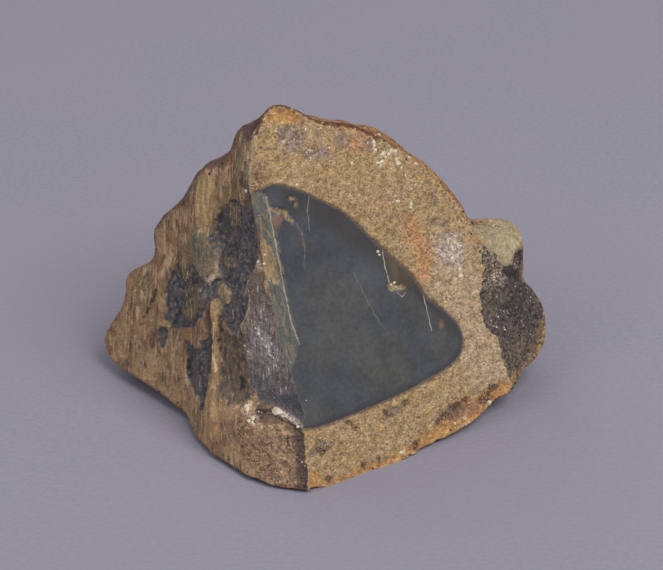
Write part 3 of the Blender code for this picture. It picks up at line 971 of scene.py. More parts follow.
@dataclass
class LeftBreak(Break):
    """The ribbed face, with a step above its foot."""

    # Level sections, from the foot up: each is its height, and places across it with their rises.
    sections: tuple = (
        (0, ((-54, 0), (-45, 0.5), (-31, 0), (-24.7, 3.2), (-20, 4.0), (-10.5, 4.4), (-6, 3.2),
             (-3, 1.6), (0, 0))),
        (8, ((-52, 0), (-45, 0.8), (-38, 0.4), (-30, 0.2), (-24.7, 3.6), (-18, 4.2), (-8, 4.4),
             (-4, 1.5), (0, -1.2))),
        (12, ((-50, 0), (-45.8, 1), (-38, 0.6), (-29.5, 0.2), (-24.7, 3.8), (-14, 1.7), (-7, 0.1),
              (-2.3, -1.2))),
        (24, ((-48, 0.4), (-42, -0.5), (-38, 1), (-33, 0.2), (-28.5, 0.6), (-24.7, 3.6), (-14, 3),
              (-8, 1.8))),
        (36, ((-45, 0), (-38, 1.2), (-33.5, -0.3), (-27.5, 1.6), (-24.5, 0.5), (-21, 0.6),
              (-16, 2.3), (-12.3, 2.9))),
        (48, ((-45, 0), (-33, 0), (-27.5, 1.2), (-20.8, 0), (-18, 1.5), (-14.6, 4.2))),
        (58, ((-22, 0), (-17, 0.3), (-14, 1.5))),
    )
    # For each rib: its place across, height and width, and where up the face it starts and ends.
    ribs: tuple = (
        (-27.6, 0.8, 2.4, 32.0, 48.0),
        (-23.0, 0.5, 2.0, 38.0, 60.0),
        (-33.4, 0.5, 2.2, 26.0, 42.0),
        (-44.4, 0.9, 2.2, 8.0, 21.0),
        (-37.6, 0.6, 1.8, 9.0, 24.0),
        (-21.2, 0.5, 1.3, 10.0, 26.0),
        (-19.6, 0.5, 1.4, -2.0, 12.0),
        (-32.6, -0.4, 1.6, -2.0, 12.0),
    )
    rib_fade: float = 2.0
    # How high each mark stands, and over what length it gets there.
    raised: tuple = (
        ("lobe", 0.55, 0.3),
        ("flake", 0.4, 0.3),
        ("thread", 0.4, 0.6),
        ("streaked", -0.25, 0.5),
        ("block_rim", 0.4, 0.5),
        ("block_edge", -0.3, 0.5),
        ("lit_band", 0.15, 0.6),
        ("shadowed", -0.3, 0.5),
    )
    chip_depth: float = 0.42
    streak_stretch: Triple = (1.0, 0.22, 1.0)
    streak_lean: float = 0.25
    # Kinds of roughness: each is a height, a size and a seed.
    frays: tuple = ((0.35, 1.3, 31), (0.15, 0.6, 32))
    streaks: tuple = ((1.0, 1.5, 33), (0.5, 0.7, 34))
    facet_grit: tuple = ((0.2, 1.0, 37), (0.09, 0.55, 38))

    def relief(self, across: np.ndarray, up: np.ndarray) -> np.ndarray:
        """The face's ribs and its step, drawn between its sections.

        Args:
            across: Each point's place across the break, with its lean taken out.
            up: Each point's place up the break.

        Returns:
            How far each point stands out of the plane, in millimetres.
        """
        heights = [height for height, _ in self.sections]
        rows = [np.interp(across, *np.array(section, float).T) for _, section in self.sections]
        level = np.interp(up, heights, np.arange(len(heights)))
        low = np.minimum(level.astype(int), len(heights) - 2)
        share = level - low
        table = np.array(rows)
        point = np.arange(len(across))
        return table[low, point] * (1 - share) + table[low + 1, point] * share

    def fine_relief(self, along: np.ndarray, up: np.ndarray) -> np.ndarray:
        """The crust's grain and streaks, the chips through it and the flakes on it.

        Args:
            along: Each point's place along the break.
            up: Each point's place up the break.

        Returns:
            How far each point stands out of the plane, in millimetres.
        """
        flat = on_plane(along, up)
        frayed = grit(flat, self.frays)
        chipped = np.minimum(self.reach("patch", along, up), -self.reach("island", along, up))
        bare = soft_step(chipped + frayed, -0.12, 0.18)
        facet = self.inside("facet", along, up, -0.2, 0.6)
        block = self.inside("block", along, up, -0.2, 0.6)
        down_rib = flat * np.array(self.streak_stretch) + on_plane(self.streak_lean * up, 0 * up)
        streaks = grit(down_rib, self.streaks)
        grain = 0.09 * smooth_noise(flat, 0.85, 35) + 0.06 * layered_noise(flat, 2.4, 36)
        rise = (1 - bare) * (1 - facet) * (grain + 0.13 * streaks) - self.chip_depth * bare
        across = along + self.lean * up
        for place, height, run, low, high in self.ribs:
            past = across - place + 0.5 * smooth_noise(flat, 6.0, 40)
            edge = soft_step(past, -0.5, 0.1) * np.exp(-np.maximum(past, 0) / run)
            starts = soft_step(up, low - self.rib_fade, low + self.rib_fade)
            ends = soft_step(-up, -high - self.rib_fade, self.rib_fade - high)
            rise += height * edge * starts * ends
        rise += facet * grit(flat, self.facet_grit)
        rise += block * 0.13 * smooth_noise(flat, 0.8, 39)
        for mark, height, run in self.raised:
            rise += height * soft_step(self.reach(mark, along, up) + 0.5 * frayed, -0.15, run)
        furrows = np.abs(smooth_noise(down_rib, 1.1, 41))
        torn = np.maximum(self.reach("strip", along, up), self.reach("streaked", along, up))
        torn = soft_step(torn, -0.3, 0.5)
        return rise + torn * (0.5 * furrows - 0.1)


@dataclass
class Stone:
    """The broken stone: the whole nodule, cut by its breaks and its foot."""

    nodule: WholeNodule
    breaks: tuple[Break, ...]
    foot_reach: float = 75.0
    sharp_angle: float = 38.0

    def foot_cutter(self) -> bpy.types.Object:
        """A slab below the flat spot.

        Returns:
            The slab, in millimetres.
        """
        bm = bmesh.new()
        bmesh.ops.create_cube(bm, size=2 * self.foot_reach)
        bmesh.ops.translate(bm, verts=bm.verts, vec=(0, 0, -self.foot_reach))
        obj = object_from(bm, "foot_cutter")
        dress(obj, Surface.SKIN.finish)
        return obj

    def measures(self, points: np.ndarray) -> dict[str, np.ndarray]:
        """What the finishes read at each point, all in millimetres but the pits.

        Args:
            points: The stone's points, one a row, in millimetres.

        Returns:
            The depth below the skin, the pits, the distance behind each break and each mark's reach.
        """
        found = {"depth": self.nodule.depth(points), "pit": self.nodule.pitted(points)}
        for face in self.breaks:
            along, up, out = face.plane.measure(points).T
            found[f"behind_{face.name}"] = face.height(along, up) - out
            for mark in face.marks:
                found[mark.name] = mark.reach(along, up)
        return found

    def store(self, obj: bpy.types.Object) -> None:
        """Keeps the measures on the stone's points, for its finishes.

        Args:
            obj: The cut stone, in millimetres.
        """
        points = np.empty(len(obj.data.vertices) * 3)
        obj.data.vertices.foreach_get("co", points)
        for name, values in self.measures(points.reshape(-1, 3)).items():
            attribute = obj.data.attributes.new(name, "FLOAT", "POINT")
            attribute.data.foreach_set("value", values.astype(np.float32))

    def build(self) -> bpy.types.Object:
        """Makes the stone.

        Returns:
            The finished piece, in metres.
        """
        obj = self.nodule.build()
        obj.data.materials.clear()
        dress(obj, *(slot.finish for slot in Surface))
        combine(obj, [face.cutter() for face in self.breaks] + [self.foot_cutter()], "DIFFERENCE")
        self.store(obj)
        obj.data.transform(Matrix.Scale(MM, 4))
        obj.data.shade_smooth()
        obj.data.set_sharp_from_angle(angle=math.radians(self.sharp_angle))
        return obj


@dataclass
class SetGrains:
    """Small pale grains of quartz, set in the breaks."""

    stone: bpy.types.Object
    # Large grains: the plane, the place along and up it, and the size.
    large: tuple = ()
    # Fields of small ones: the plane, the mark, how many and their size.
    fields: tuple = ()
    fattened: float = 1.15
    fine_from: float = 0.3
    uneven: float = 0.35
    bumps: float = 1.7
    sunk: float = 0.2
    clearance: float = 12.0
    margin: float = 2.5
    inset: float = 0.1
    seed: int = 7

    def seat(self, plane: Plane, along: float, up: float) -> tuple[Vector, Vector] | None:
        """Where a line square to a plane meets the stone.

        Args:
            plane: The break's plane.
            along: The place along it.
            up: The place up it.

        Returns:
            The point, in millimetres, and the way the surface faces there, or None.
        """
        out = Vector(plane.axes()[2])
        above = plane.matrix() @ Vector((along, up, self.clearance))
        hit, point, normal, _ = self.stone.ray_cast(above * MM, -out)
        return (point / MM, normal) if hit else None

    def grain(self, bm: bmesh.types.BMesh, seat: tuple, size: float, dice: random.Random) -> None:
        """Adds one grain to the mesh, sunk into its seat.

        Args:
            bm: The mesh of all the grains.
            seat: The point where it sits and the way that the surface faces there.
            size: The grain's half size, in millimetres.
            dice: What its turn and its shape are drawn from.
        """
        point, normal = seat
        rounds = 2 if size > self.fine_from else 1
        made = bmesh.ops.create_icosphere(bm, subdivisions=rounds, radius=size)
        turn = Matrix.Rotation(dice.uniform(0, math.tau), 4, "Z")
        sides = [dice.uniform(*span) for span in ((0.95, 1.25), (0.75, 1.0), (0.55, 0.8))]
        shape = Matrix.Diagonal((*sides, 1.0))
        stand = normal.to_track_quat("Z", "Y").to_matrix().to_4x4()
        place = Matrix.Translation(point - normal * size * self.sunk)
        for vertex in made["verts"]:
            vertex.co *= 1 + self.uneven * noise.noise(vertex.co * (self.bumps / size) + point)
        bmesh.ops.transform(bm, verts=made["verts"], matrix=place @ stand @ turn @ shape)

    def build(self) -> bpy.types.Object:
        """Makes the grains.

        Returns:
            The grains as one piece, in metres.
        """
        dice = random.Random(self.seed)
        bm = bmesh.new()
        for plane, along, up, size in self.large:
            seat = self.seat(plane, along, up)
            if seat:
                self.grain(bm, seat, self.fattened * size, dice)
        for plane, mark, count, size in self.fields:
            found = 0
            corners = np.array([corner for outline in mark.outlines for corner in outline])
            low, high = corners.min(axis=0) - self.margin, corners.max(axis=0) + self.margin
            while found < count:
                along, up = dice.uniform(low[0], high[0]), dice.uniform(low[1], high[1])
                if mark.reach(np.array([along]), np.array([up]))[0] < self.inset:
                    continue
                found += 1
                seat = self.seat(plane, along, up)
                if seat:
                    self.grain(bm, seat, size * dice.uniform(0.6, 1.3), dice)
        bm.transform(Matrix.Scale(MM, 4))
        obj = object_from(bm, "quartz_grains")
        dress(obj, "quartz")
        return obj


class Effect(Enum):
    """The effects that more than one finish uses, by the name of their node group."""

    GRAIN = "stone_grain"
    SPECKS = "specks"
    HAIRLINE = "hairline"
    FRAY = "frayed_edge"


@dataclass(frozen=True)
class Stain:
    """How a mark is painted: two mottled colours, the mottling's size, the strength and the cover.

    Its edge frays by a length and is soft over a length. It may be shifted outward, and its
    mottling may be streaky.
    """

    mark: str
    first: Paint
    second: Paint
    mottle: float = 1.2
    strength: float = 0.9
    cover: float = 1.0
    fray: float = 0.4
    soft: float = 0.25
    shift: float = 0.0
    size: float = 1.2
    streaky: bool = True

    @property
    def patches(self) -> tuple[float, float]:
        """Between which values noise turns into patches, so that they cover the share."""
        middle = 0.66 - 0.32 * self.cover
        return middle - 0.03, middle + 0.03


@dataclass(frozen=True)
class Specks:
    """A run of scattered specks: how its pattern is stretched, its spacing, share, colour and strength."""

    stretch: float
    spacing: float
    share: float
    colour: Paint
    strength: float


def shader_colour(colour: Socket | Paint) -> Socket | tuple[float, ...]:
    """A paint, given by the usual 0 to 255 numbers, as a shader's colour. A socket stays as it is.

    Args:
        colour: The paint or the socket.

    Returns:
        Red, green, blue and one, or the socket.
    """
    if isinstance(colour, Socket):
        return colour
    parts = [c / 255 for c in colour]
    return *(c / 12.92 if c <= 0.04045 else ((c + 0.055) / 1.055) ** 2.4 for c in parts), 1.0


class Wires:
    """Adds nodes to one shader tree and joins them. Lengths are in millimetres."""

    def __init__(self, tree: bpy.types.NodeTree) -> None:
        """Starts on a tree."""
        self.tree = tree

    def node(self, kind: str, inputs: dict | None = None, **settings: object) -> bpy.types.Node:
        """Adds a node.

        Args:
            kind: Blender's name for the node's type.
            inputs: What each socket, by name or number, is joined to or holds.
            **settings: The node's own settings.

        Returns:
            The node.
        """
        node = self.tree.nodes.new(kind)
        for name, value in settings.items():
            setattr(node, name, value)
        self.join(node, inputs or {})
        return node

    def join(self, node: bpy.types.Node, inputs: dict) -> None:
        """Joins sockets to a node's inputs, by name or number, or puts values in them.

        Args:
            node: The node.
            inputs: What each socket is joined to or holds.
        """
        for key, value in inputs.items():
            if isinstance(value, Socket):
                self.tree.links.new(value, node.inputs[key])
            else:
                node.inputs[key].default_value = value

    def math(self, operation: str, *values: object) -> Socket:
        """The result of a Math node on one to three values."""
        return self.node("ShaderNodeMath", dict(enumerate(values)), operation=operation).outputs[0]

    def times(self, first: object, second: object) -> Socket:
        """Two values multiplied."""
        return self.math("MULTIPLY", first, second)

    def times_plus(self, value: object, factor: object, more: object) -> Socket:
        """A value multiplied by a factor, and more added."""
        return self.math("MULTIPLY_ADD", value, factor, more)

    def rest(self, share: object) -> Socket:
        """What a share leaves of one."""
        return self.math("SUBTRACT", 1.0, share)

    def axis(self, place: Socket, name: str) -> Socket:
        """A place's part along X, Y or Z."""
        return self.node("ShaderNodeSeparateXYZ", {0: place}).outputs[name]

    def vector(self, operation: str, *values: object) -> bpy.types.Node:
        """A Vector Math node on one to three vectors."""
        return self.node("ShaderNodeVectorMath", dict(enumerate(values)), operation=operation)

    def scaled(self, place: Socket, factor: object) -> Socket:
        """A vector made longer by a factor."""
        inputs = {"Vector": place, "Scale": factor}
        return self.node("ShaderNodeVectorMath", inputs, operation="SCALE").outputs[0]

    def step(self, value: object, low: object, high: object) -> Socket:
        """Nought below low, one above high, and a smooth rise between. It falls where low is above high."""
        inputs = {"Value": value, "From Min": low, "From Max": high}
        return self.node("ShaderNodeMapRange", inputs, interpolation_type="SMOOTHSTEP").outputs[0]

    def noise(self, place: Socket, size: float, detail: float) -> Socket:
        """Noise from nought to one that changes over a length."""
        inputs = {"Vector": place, "Scale": 1 / size, "Detail": detail}
        return self.node("ShaderNodeTexNoise", inputs).outputs[0]

    def cloud(
        self, place: Socket, size: float, low: float, high: float, detail: float = 4.0
    ) -> Socket:
        """A mask of soft patches: nought where noise of a size is below low, one where it is above high."""
        return self.step(self.noise(place, size, detail), low, high)

    def wandering(self, place: Socket, size: float, by: object, distance: object) -> Socket:
        """A distance with up to a length added by noise of a size, so that its edge wanders."""
        return self.times_plus(self.noise(place, size, 3.0), by, distance)

    def mix(self, share: object, first: Socket | Paint, second: Socket | Paint) -> Socket:
        """One colour turned into another by a share."""
        inputs = {0: share, 6: shader_colour(first), 7: shader_colour(second)}
        return self.node("ShaderNodeMix", inputs, data_type="RGBA").outputs[2]

    def lay(self, colour: Socket, mask: object, over: Socket | Paint, strength: float) -> Socket:
        """A colour laid over another where a mask is, as thick as the strength."""
        share = mask if strength == 1.0 else self.times(mask, strength)
        return self.mix(share, colour, over)

    def attribute(self, name: str) -> Socket:
        """A measure that is kept on the piece's points."""
        return self.node("ShaderNodeAttribute", attribute_name=name).outputs["Fac"]

    def place(
        self, plane: Plane | None = None, stretch: Triple = (1.0, 1.0, 1.0), turn: float = 0.0
    ) -> Socket:
        """The surface's place in millimetres.

        Args:
            plane: The plane that it is measured on, or None for the stone's own axes.
            stretch: How much longer marks are along each axis.
            turn: How far the axes are turned on the plane, in degrees.

        Returns:
            The place as a vector socket.
        """
        matrix = plane.matrix() if plane else Matrix.Identity(4)
        matrix = matrix @ Matrix.Rotation(math.radians(turn), 4, "Z")
        return self.node(
            "ShaderNodeMapping",
            {
                "Vector": self.node("ShaderNodeTexCoord").outputs["Object"],
                "Location": matrix.to_translation() * MM,
                "Rotation": matrix.to_euler(),
                "Scale": [MM * s for s in stretch],
            },
            vector_type="TEXTURE",
        ).outputs["Vector"]

    def effect(self, effect: Effect, place: Socket, **inputs: object) -> bpy.types.Node:
        """Adds a shared effect.

        Args:
            effect: Which effect.
            place: The surface's place.
            **inputs: The effect's other sockets, by name.

        Returns:
            The group's node.
        """
        node = self.node("ShaderNodeGroup", node_tree=bpy.data.node_groups[effect.value])
        self.join(node, {"Place": place, **inputs})
        return node

    def inside(
        self,
        mark: str,
        place: Socket,
        fray: float = 0.3,
        soft: float = 0.2,
        size: float = 1.2,
        shift: float = 0.0,
    ) -> Socket:
        """The mask of a mark with a frayed edge.

        Args:
            mark: The mark's name.
            place: The surface's place.
            fray: How far the edge wanders.
            soft: Half the width of its fade.
            size: The length of its wanderings.
            shift: How much larger the mark is made.

        Returns:
            The mask, from nought to one.
        """
        reach = self.attribute(mark)
        if shift:
            reach = self.math("ADD", reach, shift)
        frayed = self.effect(Effect.FRAY, place, Reach=reach, Fray=fray, Soft=soft, Size=size)
        return frayed.outputs["Mask"]

    def stain(self, colour: Socket, stain: Stain, place: Socket, grain: Socket) -> Socket:
        """Lays a stain over a colour.

        Args:
            colour: What it is laid over.
            stain: The stain.
            place: The surface's place, which its edge follows.
            grain: The place that its mottling follows, stretched where it is streaky.

        Returns:
            The new colour.
        """
        both = self.mix(self.cloud(grain, stain.mottle, 0.42, 0.58), stain.first, stain.second)
        mask = self.inside(stain.mark, place, stain.fray, stain.soft, stain.size, stain.shift)
        if stain.cover < 1:
            mask = self.times(mask, self.cloud(self.scaled(grain, 1.37), stain.mottle, *stain.patches))
        return self.lay(colour, mask, both, stain.strength)

    def shade(self, colour: Socket, tone: Socket, amount: object) -> Socket:
        """A colour made darker where a tone is low and lighter where it is high."""
        double = self.times(amount, 2.0)
        return self.scaled(colour, self.times_plus(tone, double, self.rest(amount)))

    def speckle(
        self, colour: Socket, place: Socket, mask: object, runs: tuple[Specks, ...], soft: float = 0.5
    ) -> Socket:
        """Lays scattered specks where a mask is.

        Args:
            colour: What they are laid over.
            place: The surface's place.
            mask: Where they may be.
            runs: The kinds of speck.
            soft: How soft their edges are.

        Returns:
            The new colour.
        """
        for run in runs:
            spots = place if run.stretch == 1 else self.scaled(place, run.stretch)
            inputs = {"Size": run.spacing, "Share": self.times(mask, run.share), "Soft": soft}
            specks = self.effect(Effect.SPECKS, spots, **inputs).outputs["Mask"]
            colour = self.lay(colour, specks, run.colour, run.strength)
        return colour

    def line(
        self, colour: Socket, place: Socket, points: tuple, width: float, over: Paint, strength: float
    ) -> Socket:
        """Lays a thin line of a colour along a row of points on a break.

        Args:
            colour: What it is laid over.
            place: The surface's place.
            points: The places that it passes, along and up the break.
            width: Its half width.
            over: Its colour.
            strength: How strongly it covers.

        Returns:
            The new colour.
        """
        for start, end in zip(points, points[1:]):
            ends = {"Start": (*start, 0.0), "End": (*end, 0.0)}
            line = self.effect(Effect.HAIRLINE, place, Width=width, **ends)
            colour = self.lay(colour, line.outputs["Mask"], over, strength)
        return colour


class EffectMaker:
    """Builds the shared effects as shader node groups."""

    def group(
        self, effect: Effect, inputs: dict, outputs: tuple[str, ...]
    ) -> tuple[Wires, dict, bpy.types.Node]:
        """Starts a group.

        Args:
            effect: Which effect.
            inputs: Each input's name and its value, or None for a vector.
            outputs: The outputs' names.

        Returns:
            Its wires, its input sockets by name and its output node.
        """
        tree = bpy.data.node_groups.new(effect.value, "ShaderNodeTree")
        for name, value in inputs.items():
            kind = "NodeSocketVector" if value is None else "NodeSocketFloat"
            socket = tree.interface.new_socket(name=name, in_out="INPUT", socket_type=kind)
            if value is not None:
                socket.default_value = value
        for name in outputs:
            tree.interface.new_socket(name=name, in_out="OUTPUT", socket_type="NodeSocketFloat")
        wires = Wires(tree)
        given = wires.node("NodeGroupInput")
        return wires, {name: given.outputs[name] for name in inputs}, wires.node("NodeGroupOutput")

    def sized(self, wires: Wires, given: dict) -> Socket:
        """The place given to a group, measured in its given size."""
        return wires.scaled(given["Place"], wires.math("DIVIDE", 1.0, given["Size"]))

    def cells(self, wires: Wires, place: Socket) -> tuple[Socket, Socket, Socket]:
        """Cells one long: the distance to each one's middle, and two chances that it keeps throughout.

        Args:
            wires: The group's wires.
            place: The place, measured in cells.

        Returns:
            The distance and the two chances.
        """
        cells = wires.node("ShaderNodeTexVoronoi", {"Vector": place, "Scale": 1.0})
        chances = wires.node("ShaderNodeSeparateColor", {0: cells.outputs["Color"]}).outputs
        return cells.outputs["Distance"], chances[0], chances[1]

    def grain(self) -> None:
        """Packed grains: a tone for each, and their height, both from nought to one."""
        wires, given, made = self.group(Effect.GRAIN, {"Place": None, "Size": 0.5}, ("Tone", "Height"))
        place = self.sized(wires, given)
        distance, chance, _ = self.cells(wires, place)
        fine = wires.cloud(place, 0.8, 0.28, 0.72, 2.0)
        tone = wires.times_plus(chance, 0.5, wires.times(fine, 0.5))
        wires.join(made, {"Tone": tone, "Height": wires.times(wires.rest(distance), fine)})

    def specks(self) -> None:
        """Scattered specks of uneven size."""
        wires, given, made = self.group(
            Effect.SPECKS, {"Place": None, "Size": 1.0, "Share": 0.1, "Soft": 0.5}, ("Mask",)
        )
        distance, chance, other_chance = self.cells(wires, self.sized(wires, given))
        chosen = wires.math("GREATER_THAN", given["Share"], chance)
        width = wires.times_plus(other_chance, 0.3, 0.22)
        inner = wires.times(width, wires.rest(given["Soft"]))
        near = wires.step(distance, width, inner)
        wires.join(made, {"Mask": wires.times(near, chosen)})

    def hairline(self) -> None:
        """A thin wavering line between two places on a break."""
        wires, given, made = self.group(
            Effect.HAIRLINE, {"Place": None, "Start": None, "End": None, "Width": 0.2}, ("Mask",)
        )
        waver = wires.node("ShaderNodeTexNoise", {"Vector": given["Place"], "Scale": 0.6})
        waver = wires.vector("SUBTRACT", waver.outputs["Color"], (0.5, 0.5, 0.5)).outputs[0]
        waver = wires.scaled(waver, 0.7)
        moved = wires.vector("ADD", given["Place"], waver).outputs[0]
        place = wires.vector("MULTIPLY", moved, (1, 1, 0)).outputs[0]
        run = wires.vector("SUBTRACT", given["End"], given["Start"]).outputs[0]
        gone = wires.vector("SUBTRACT", place, given["Start"]).outputs[0]
        share = wires.math(
            "DIVIDE",
            wires.vector("DOT_PRODUCT", gone, run).outputs["Value"],
            wires.vector("DOT_PRODUCT", run, run).outputs["Value"],
        )
        share = wires.node("ShaderNodeClamp", {0: share}).outputs[0]
        away = wires.vector("SUBTRACT", gone, wires.scaled(run, share)).outputs[0]
        away = wires.vector("LENGTH", away).outputs["Value"]
        worn = wires.cloud(given["Place"], 1.1, 0.3, 0.55, 2.0)
        width = wires.times(given["Width"], wires.times_plus(worn, 0.7, 0.35))
        wires.join(made, {"Mask": wires.step(away, width, wires.times(width, 0.3))})

    def fray(self) -> None:
        """A mark's mask, with an edge that wanders."""
        wires, given, made = self.group(
            Effect.FRAY, {"Place": None, "Reach": 0.0, "Fray": 0.3, "Soft": 0.2, "Size": 1.2}, ("Mask",)
        )
        wander = wires.wandering(self.sized(wires, given), 1.0, 4.0, -2.0)
        reach = wires.times_plus(wander, given["Fray"], given["Reach"])
        low = wires.times(given["Soft"], -1.0)
        wires.join(made, {"Mask": wires.step(reach, low, given["Soft"])})

    def build(self) -> None:
        """Builds every effect."""
        for make in (self.grain, self.specks, self.hairline, self.fray):
            make()


@dataclass(frozen=True)
class Coat:
    """What a finish gives its shader: colour, roughness and height in millimetres."""

    colour: Socket
    roughness: Socket | float
    height: Socket | None


class Finish:
    """A finish: its name, and the coat that it wires up."""

    name = "finish"

    def wire(self, wires: Wires) -> Coat:
        """Wires the finish's coat."""
        raise NotImplementedError

    def build(self) -> bpy.types.Material:
        """Makes the material.

        Returns:
            The material, with the coat on its Principled shader.
        """
        material = bpy.data.materials.new(self.name)
        material.use_nodes = True
        material.node_tree.nodes.clear()
        wires = Wires(material.node_tree)
        coat = self.wire(wires)
        inputs = {"Base Color": coat.colour, "Roughness": coat.roughness}
        if coat.height is not None:
            bump = wires.node("ShaderNodeBump", {"Height": coat.height, "Distance": MM, "Strength": 1.0})
            inputs["Normal"] = bump.outputs[0]
        shader = wires.node("ShaderNodeBsdfPrincipled", inputs)
        wires.node("ShaderNodeOutputMaterial", {"Surface": shader.outputs[0]})
        return material


@dataclass(frozen=True)
class RindFinish(Finish):
    """The main break: a smooth blue-grey core in a granular ochre rind."""

    name: str = Surface.MAIN_BREAK.finish
    grain_size: float = 0.44
    stains: tuple = (
        Stain("bleach", (184, 160, 130), (172, 147, 116), 2.0, 0.7, 1.0, 2.0, 2.5),
        # Painted sheen: the gloss band's pinkish grey; its white specks below are painted glints.
        Stain("gloss", (150, 128, 118), (128, 106, 98), 1.4, 0.75, 1.0, 0.5, 0.8),
        # Painted sheen: the sheen patch's pale grey.
        Stain("sheen_patch", (192, 178, 166), (164, 142, 126), 1.2, 0.7, 1.0, 0.6, 1.2),
        Stain("rust", (178, 126, 92), (188, 134, 78), 2.0, 0.75, 1.0, 0.9, 1.4),
        Stain("shade", (84, 72, 54), (96, 82, 62), 1.6, 0.8, 1.0, 0.5, 1.4),
        Stain("smudge", (108, 92, 88), (134, 112, 92), 0.7, 0.8, 1.0, 0.4, 0.3),
        Stain("iron", (198, 148, 88), (170, 116, 68), 1.3, 0.9, 1.0, 0.5, 0.4),
        Stain("iron", (202, 164, 110), (188, 150, 96), 0.8, 0.8, 0.25, 0.5, 0.3),
        Stain("iron_red", (144, 104, 80), (166, 126, 100), 0.9, 0.85, 1.0, 0.5, 0.4),
        Stain("dusky", (104, 78, 60), (136, 106, 76), 0.9, 0.8, 0.8, 0.9, 1.0),
        Stain("dark", (70, 54, 50), (104, 80, 62), 0.5, 0.85, 0.75, 0.5, 0.3),
    )
    # Specks on a mark: its name, how far its edge wanders, how soft it is, and the specks.
    speckles: tuple = (
        # Painted glints: the white specks on the gloss band; its dark specks are the rind's own.
        ("gloss", 0.4, 0.6, Specks(1.0, 0.5, 0.3, (222, 212, 204), 0.9)),
        ("gloss", 0.3, 0.2, Specks(1.2, 0.6, 0.4, (92, 68, 66), 0.75)),
        # Painted glints: the white specks on the sheen patch.
        ("sheen_patch", 0.5, 0.8, Specks(1.0, 0.6, 0.35, (232, 226, 220), 0.85)),
        ("dark", 0.3, 0.2, Specks(0.9, 0.5, 0.6, (44, 32, 32), 0.9)),
    )
    rim_specks: tuple = (
        Specks(1.0, 0.7, 0.55, (52, 36, 34), 0.85),
        Specks(1.3, 0.7, 0.55, (210, 180, 126), 0.5),
    )
    grain_specks: tuple = (
        Specks(1.0, 0.55, 0.16, (222, 204, 170), 0.6),
        Specks(1.07, 0.5, 0.12, (92, 68, 48), 0.55),
    )
    flint_stains: tuple = (
        Stain("flaked", (108, 106, 92), (88, 89, 84), 1.2, 0.75, 1.0, 0.5, 0.3),
        Stain("flaked", (134, 120, 92), (118, 104, 80), 0.7, 0.8, 0.3, 0.5, 0.3),
        Stain("flaked", (60, 60, 58), (66, 62, 58), 0.6, 0.7, 0.16, 0.5, 0.3),
        Stain("gap", (54, 52, 50), (70, 66, 58), 0.6, 0.8, 0.9, 0.5, 0.3),
        Stain("umber", (72, 57, 42), (90, 74, 50), 1.4, 0.85, 1.0, 0.8, 1.0),
        Stain("ochre", (172, 142, 96), (134, 112, 80), 0.6, 0.9, 0.85, 0.5, 0.25),
        Stain("red", (142, 100, 76), (128, 92, 74), 0.6, 0.7, 1.0, 0.4, 0.4),
    )
    # For each hairline: its places along and up the break, its width, colour and strength.
    hairlines: tuple = (
        (((6.9, 50.6), (6.7, 47.8), (6.5, 43.8), (6.3, 41.2), (6.0, 35.5), (5.7, 32.5), (5.5, 29.3),
          (5.7, 24.5)), 0.17, (176, 166, 146), 0.75),
        (((5.0, 32.3), (4.9, 30.6), (3.7, 28.6)), 0.14, (128, 126, 112), 0.6),
        (((4.9, 47.8), (4.4, 44.9), (4.0, 41.0), (3.8, 37.7)), 0.22, (150, 118, 84), 0.7),
        (((14.9, 48.8), (13.8, 46.1), (13.1, 42.4)), 0.13, (140, 138, 130), 0.6),
        (((11.1, 44.7), (11.7, 42.5), (11.4, 39.8), (10.4, 37.0)), 0.13, (136, 126, 104), 0.5),
        (((19.5, 33.4), (20.3, 28.7), (21.1, 26.0), (22.3, 22.2)), 0.16, (122, 120, 112), 0.4),
        (((26.1, 36.3), (25.6, 32.6), (25.6, 29.9)), 0.15, (176, 168, 152), 0.8),
        (((31.6, 26.3), (31.6, 23.3), (31.5, 19.3)), 0.13, (182, 172, 156), 0.8),
        (((26.7, 27.8), (27.4, 26.9), (28.2, 27.3)), 0.14, (176, 164, 150), 0.7),
    )

    def rind(self, wires: Wires, place: Socket) -> Socket:
        """The colour of the granular rind with its stains, before its grain shades it.

        Args:
            wires: The material's wires.
            place: The surface's place.

        Returns:
            The colour.
        """
        colour = wires.mix(wires.cloud(place, 1.6, 0.38, 0.62), (167, 137, 94), (170, 143, 106))
        colour = wires.lay(colour, wires.cloud(place, 7.0, 0.46, 0.6), (161, 133, 88), 0.5)
        pink = wires.cloud(wires.scaled(place, 1.3), 6.0, 0.52, 0.64)
        colour = wires.lay(colour, pink, (173, 139, 109), 0.4)
        for stain in self.stains:
            colour = wires.stain(colour, stain, place, place)
        for mark, fray, soft, run in self.speckles:
            colour = wires.speckle(colour, place, wires.inside(mark, place, fray, soft), (run,))
        return colour

    def rim(self, wires: Wires, place: Socket, colour: Socket) -> Socket:
        """The iron-stained line and the black specks next to the skin.

        Args:
            wires: The material's wires.
            place: The surface's place.
            colour: What is painted so far.

        Returns:
            The new colour.
        """
        depth = wires.attribute("depth")
        thin = wires.step(wires.wandering(place, 1.4, 2.0, depth), 1.7, 1.0)
        colour = wires.lay(colour, thin, (162, 114, 66), 0.6)
        near = wires.step(depth, 1.6, 0.1)
        colour = wires.speckle(colour, place, near, self.rim_specks, 0.4)
        burnt = wires.step(wires.wandering(place, 1.0, 1.4, depth), 1.35, 1.0)
        burnt = wires.times(burnt, wires.step(wires.axis(place, "Y"), 50.0, 56.0))
        return wires.lay(colour, burnt, (82, 48, 40), 0.85)

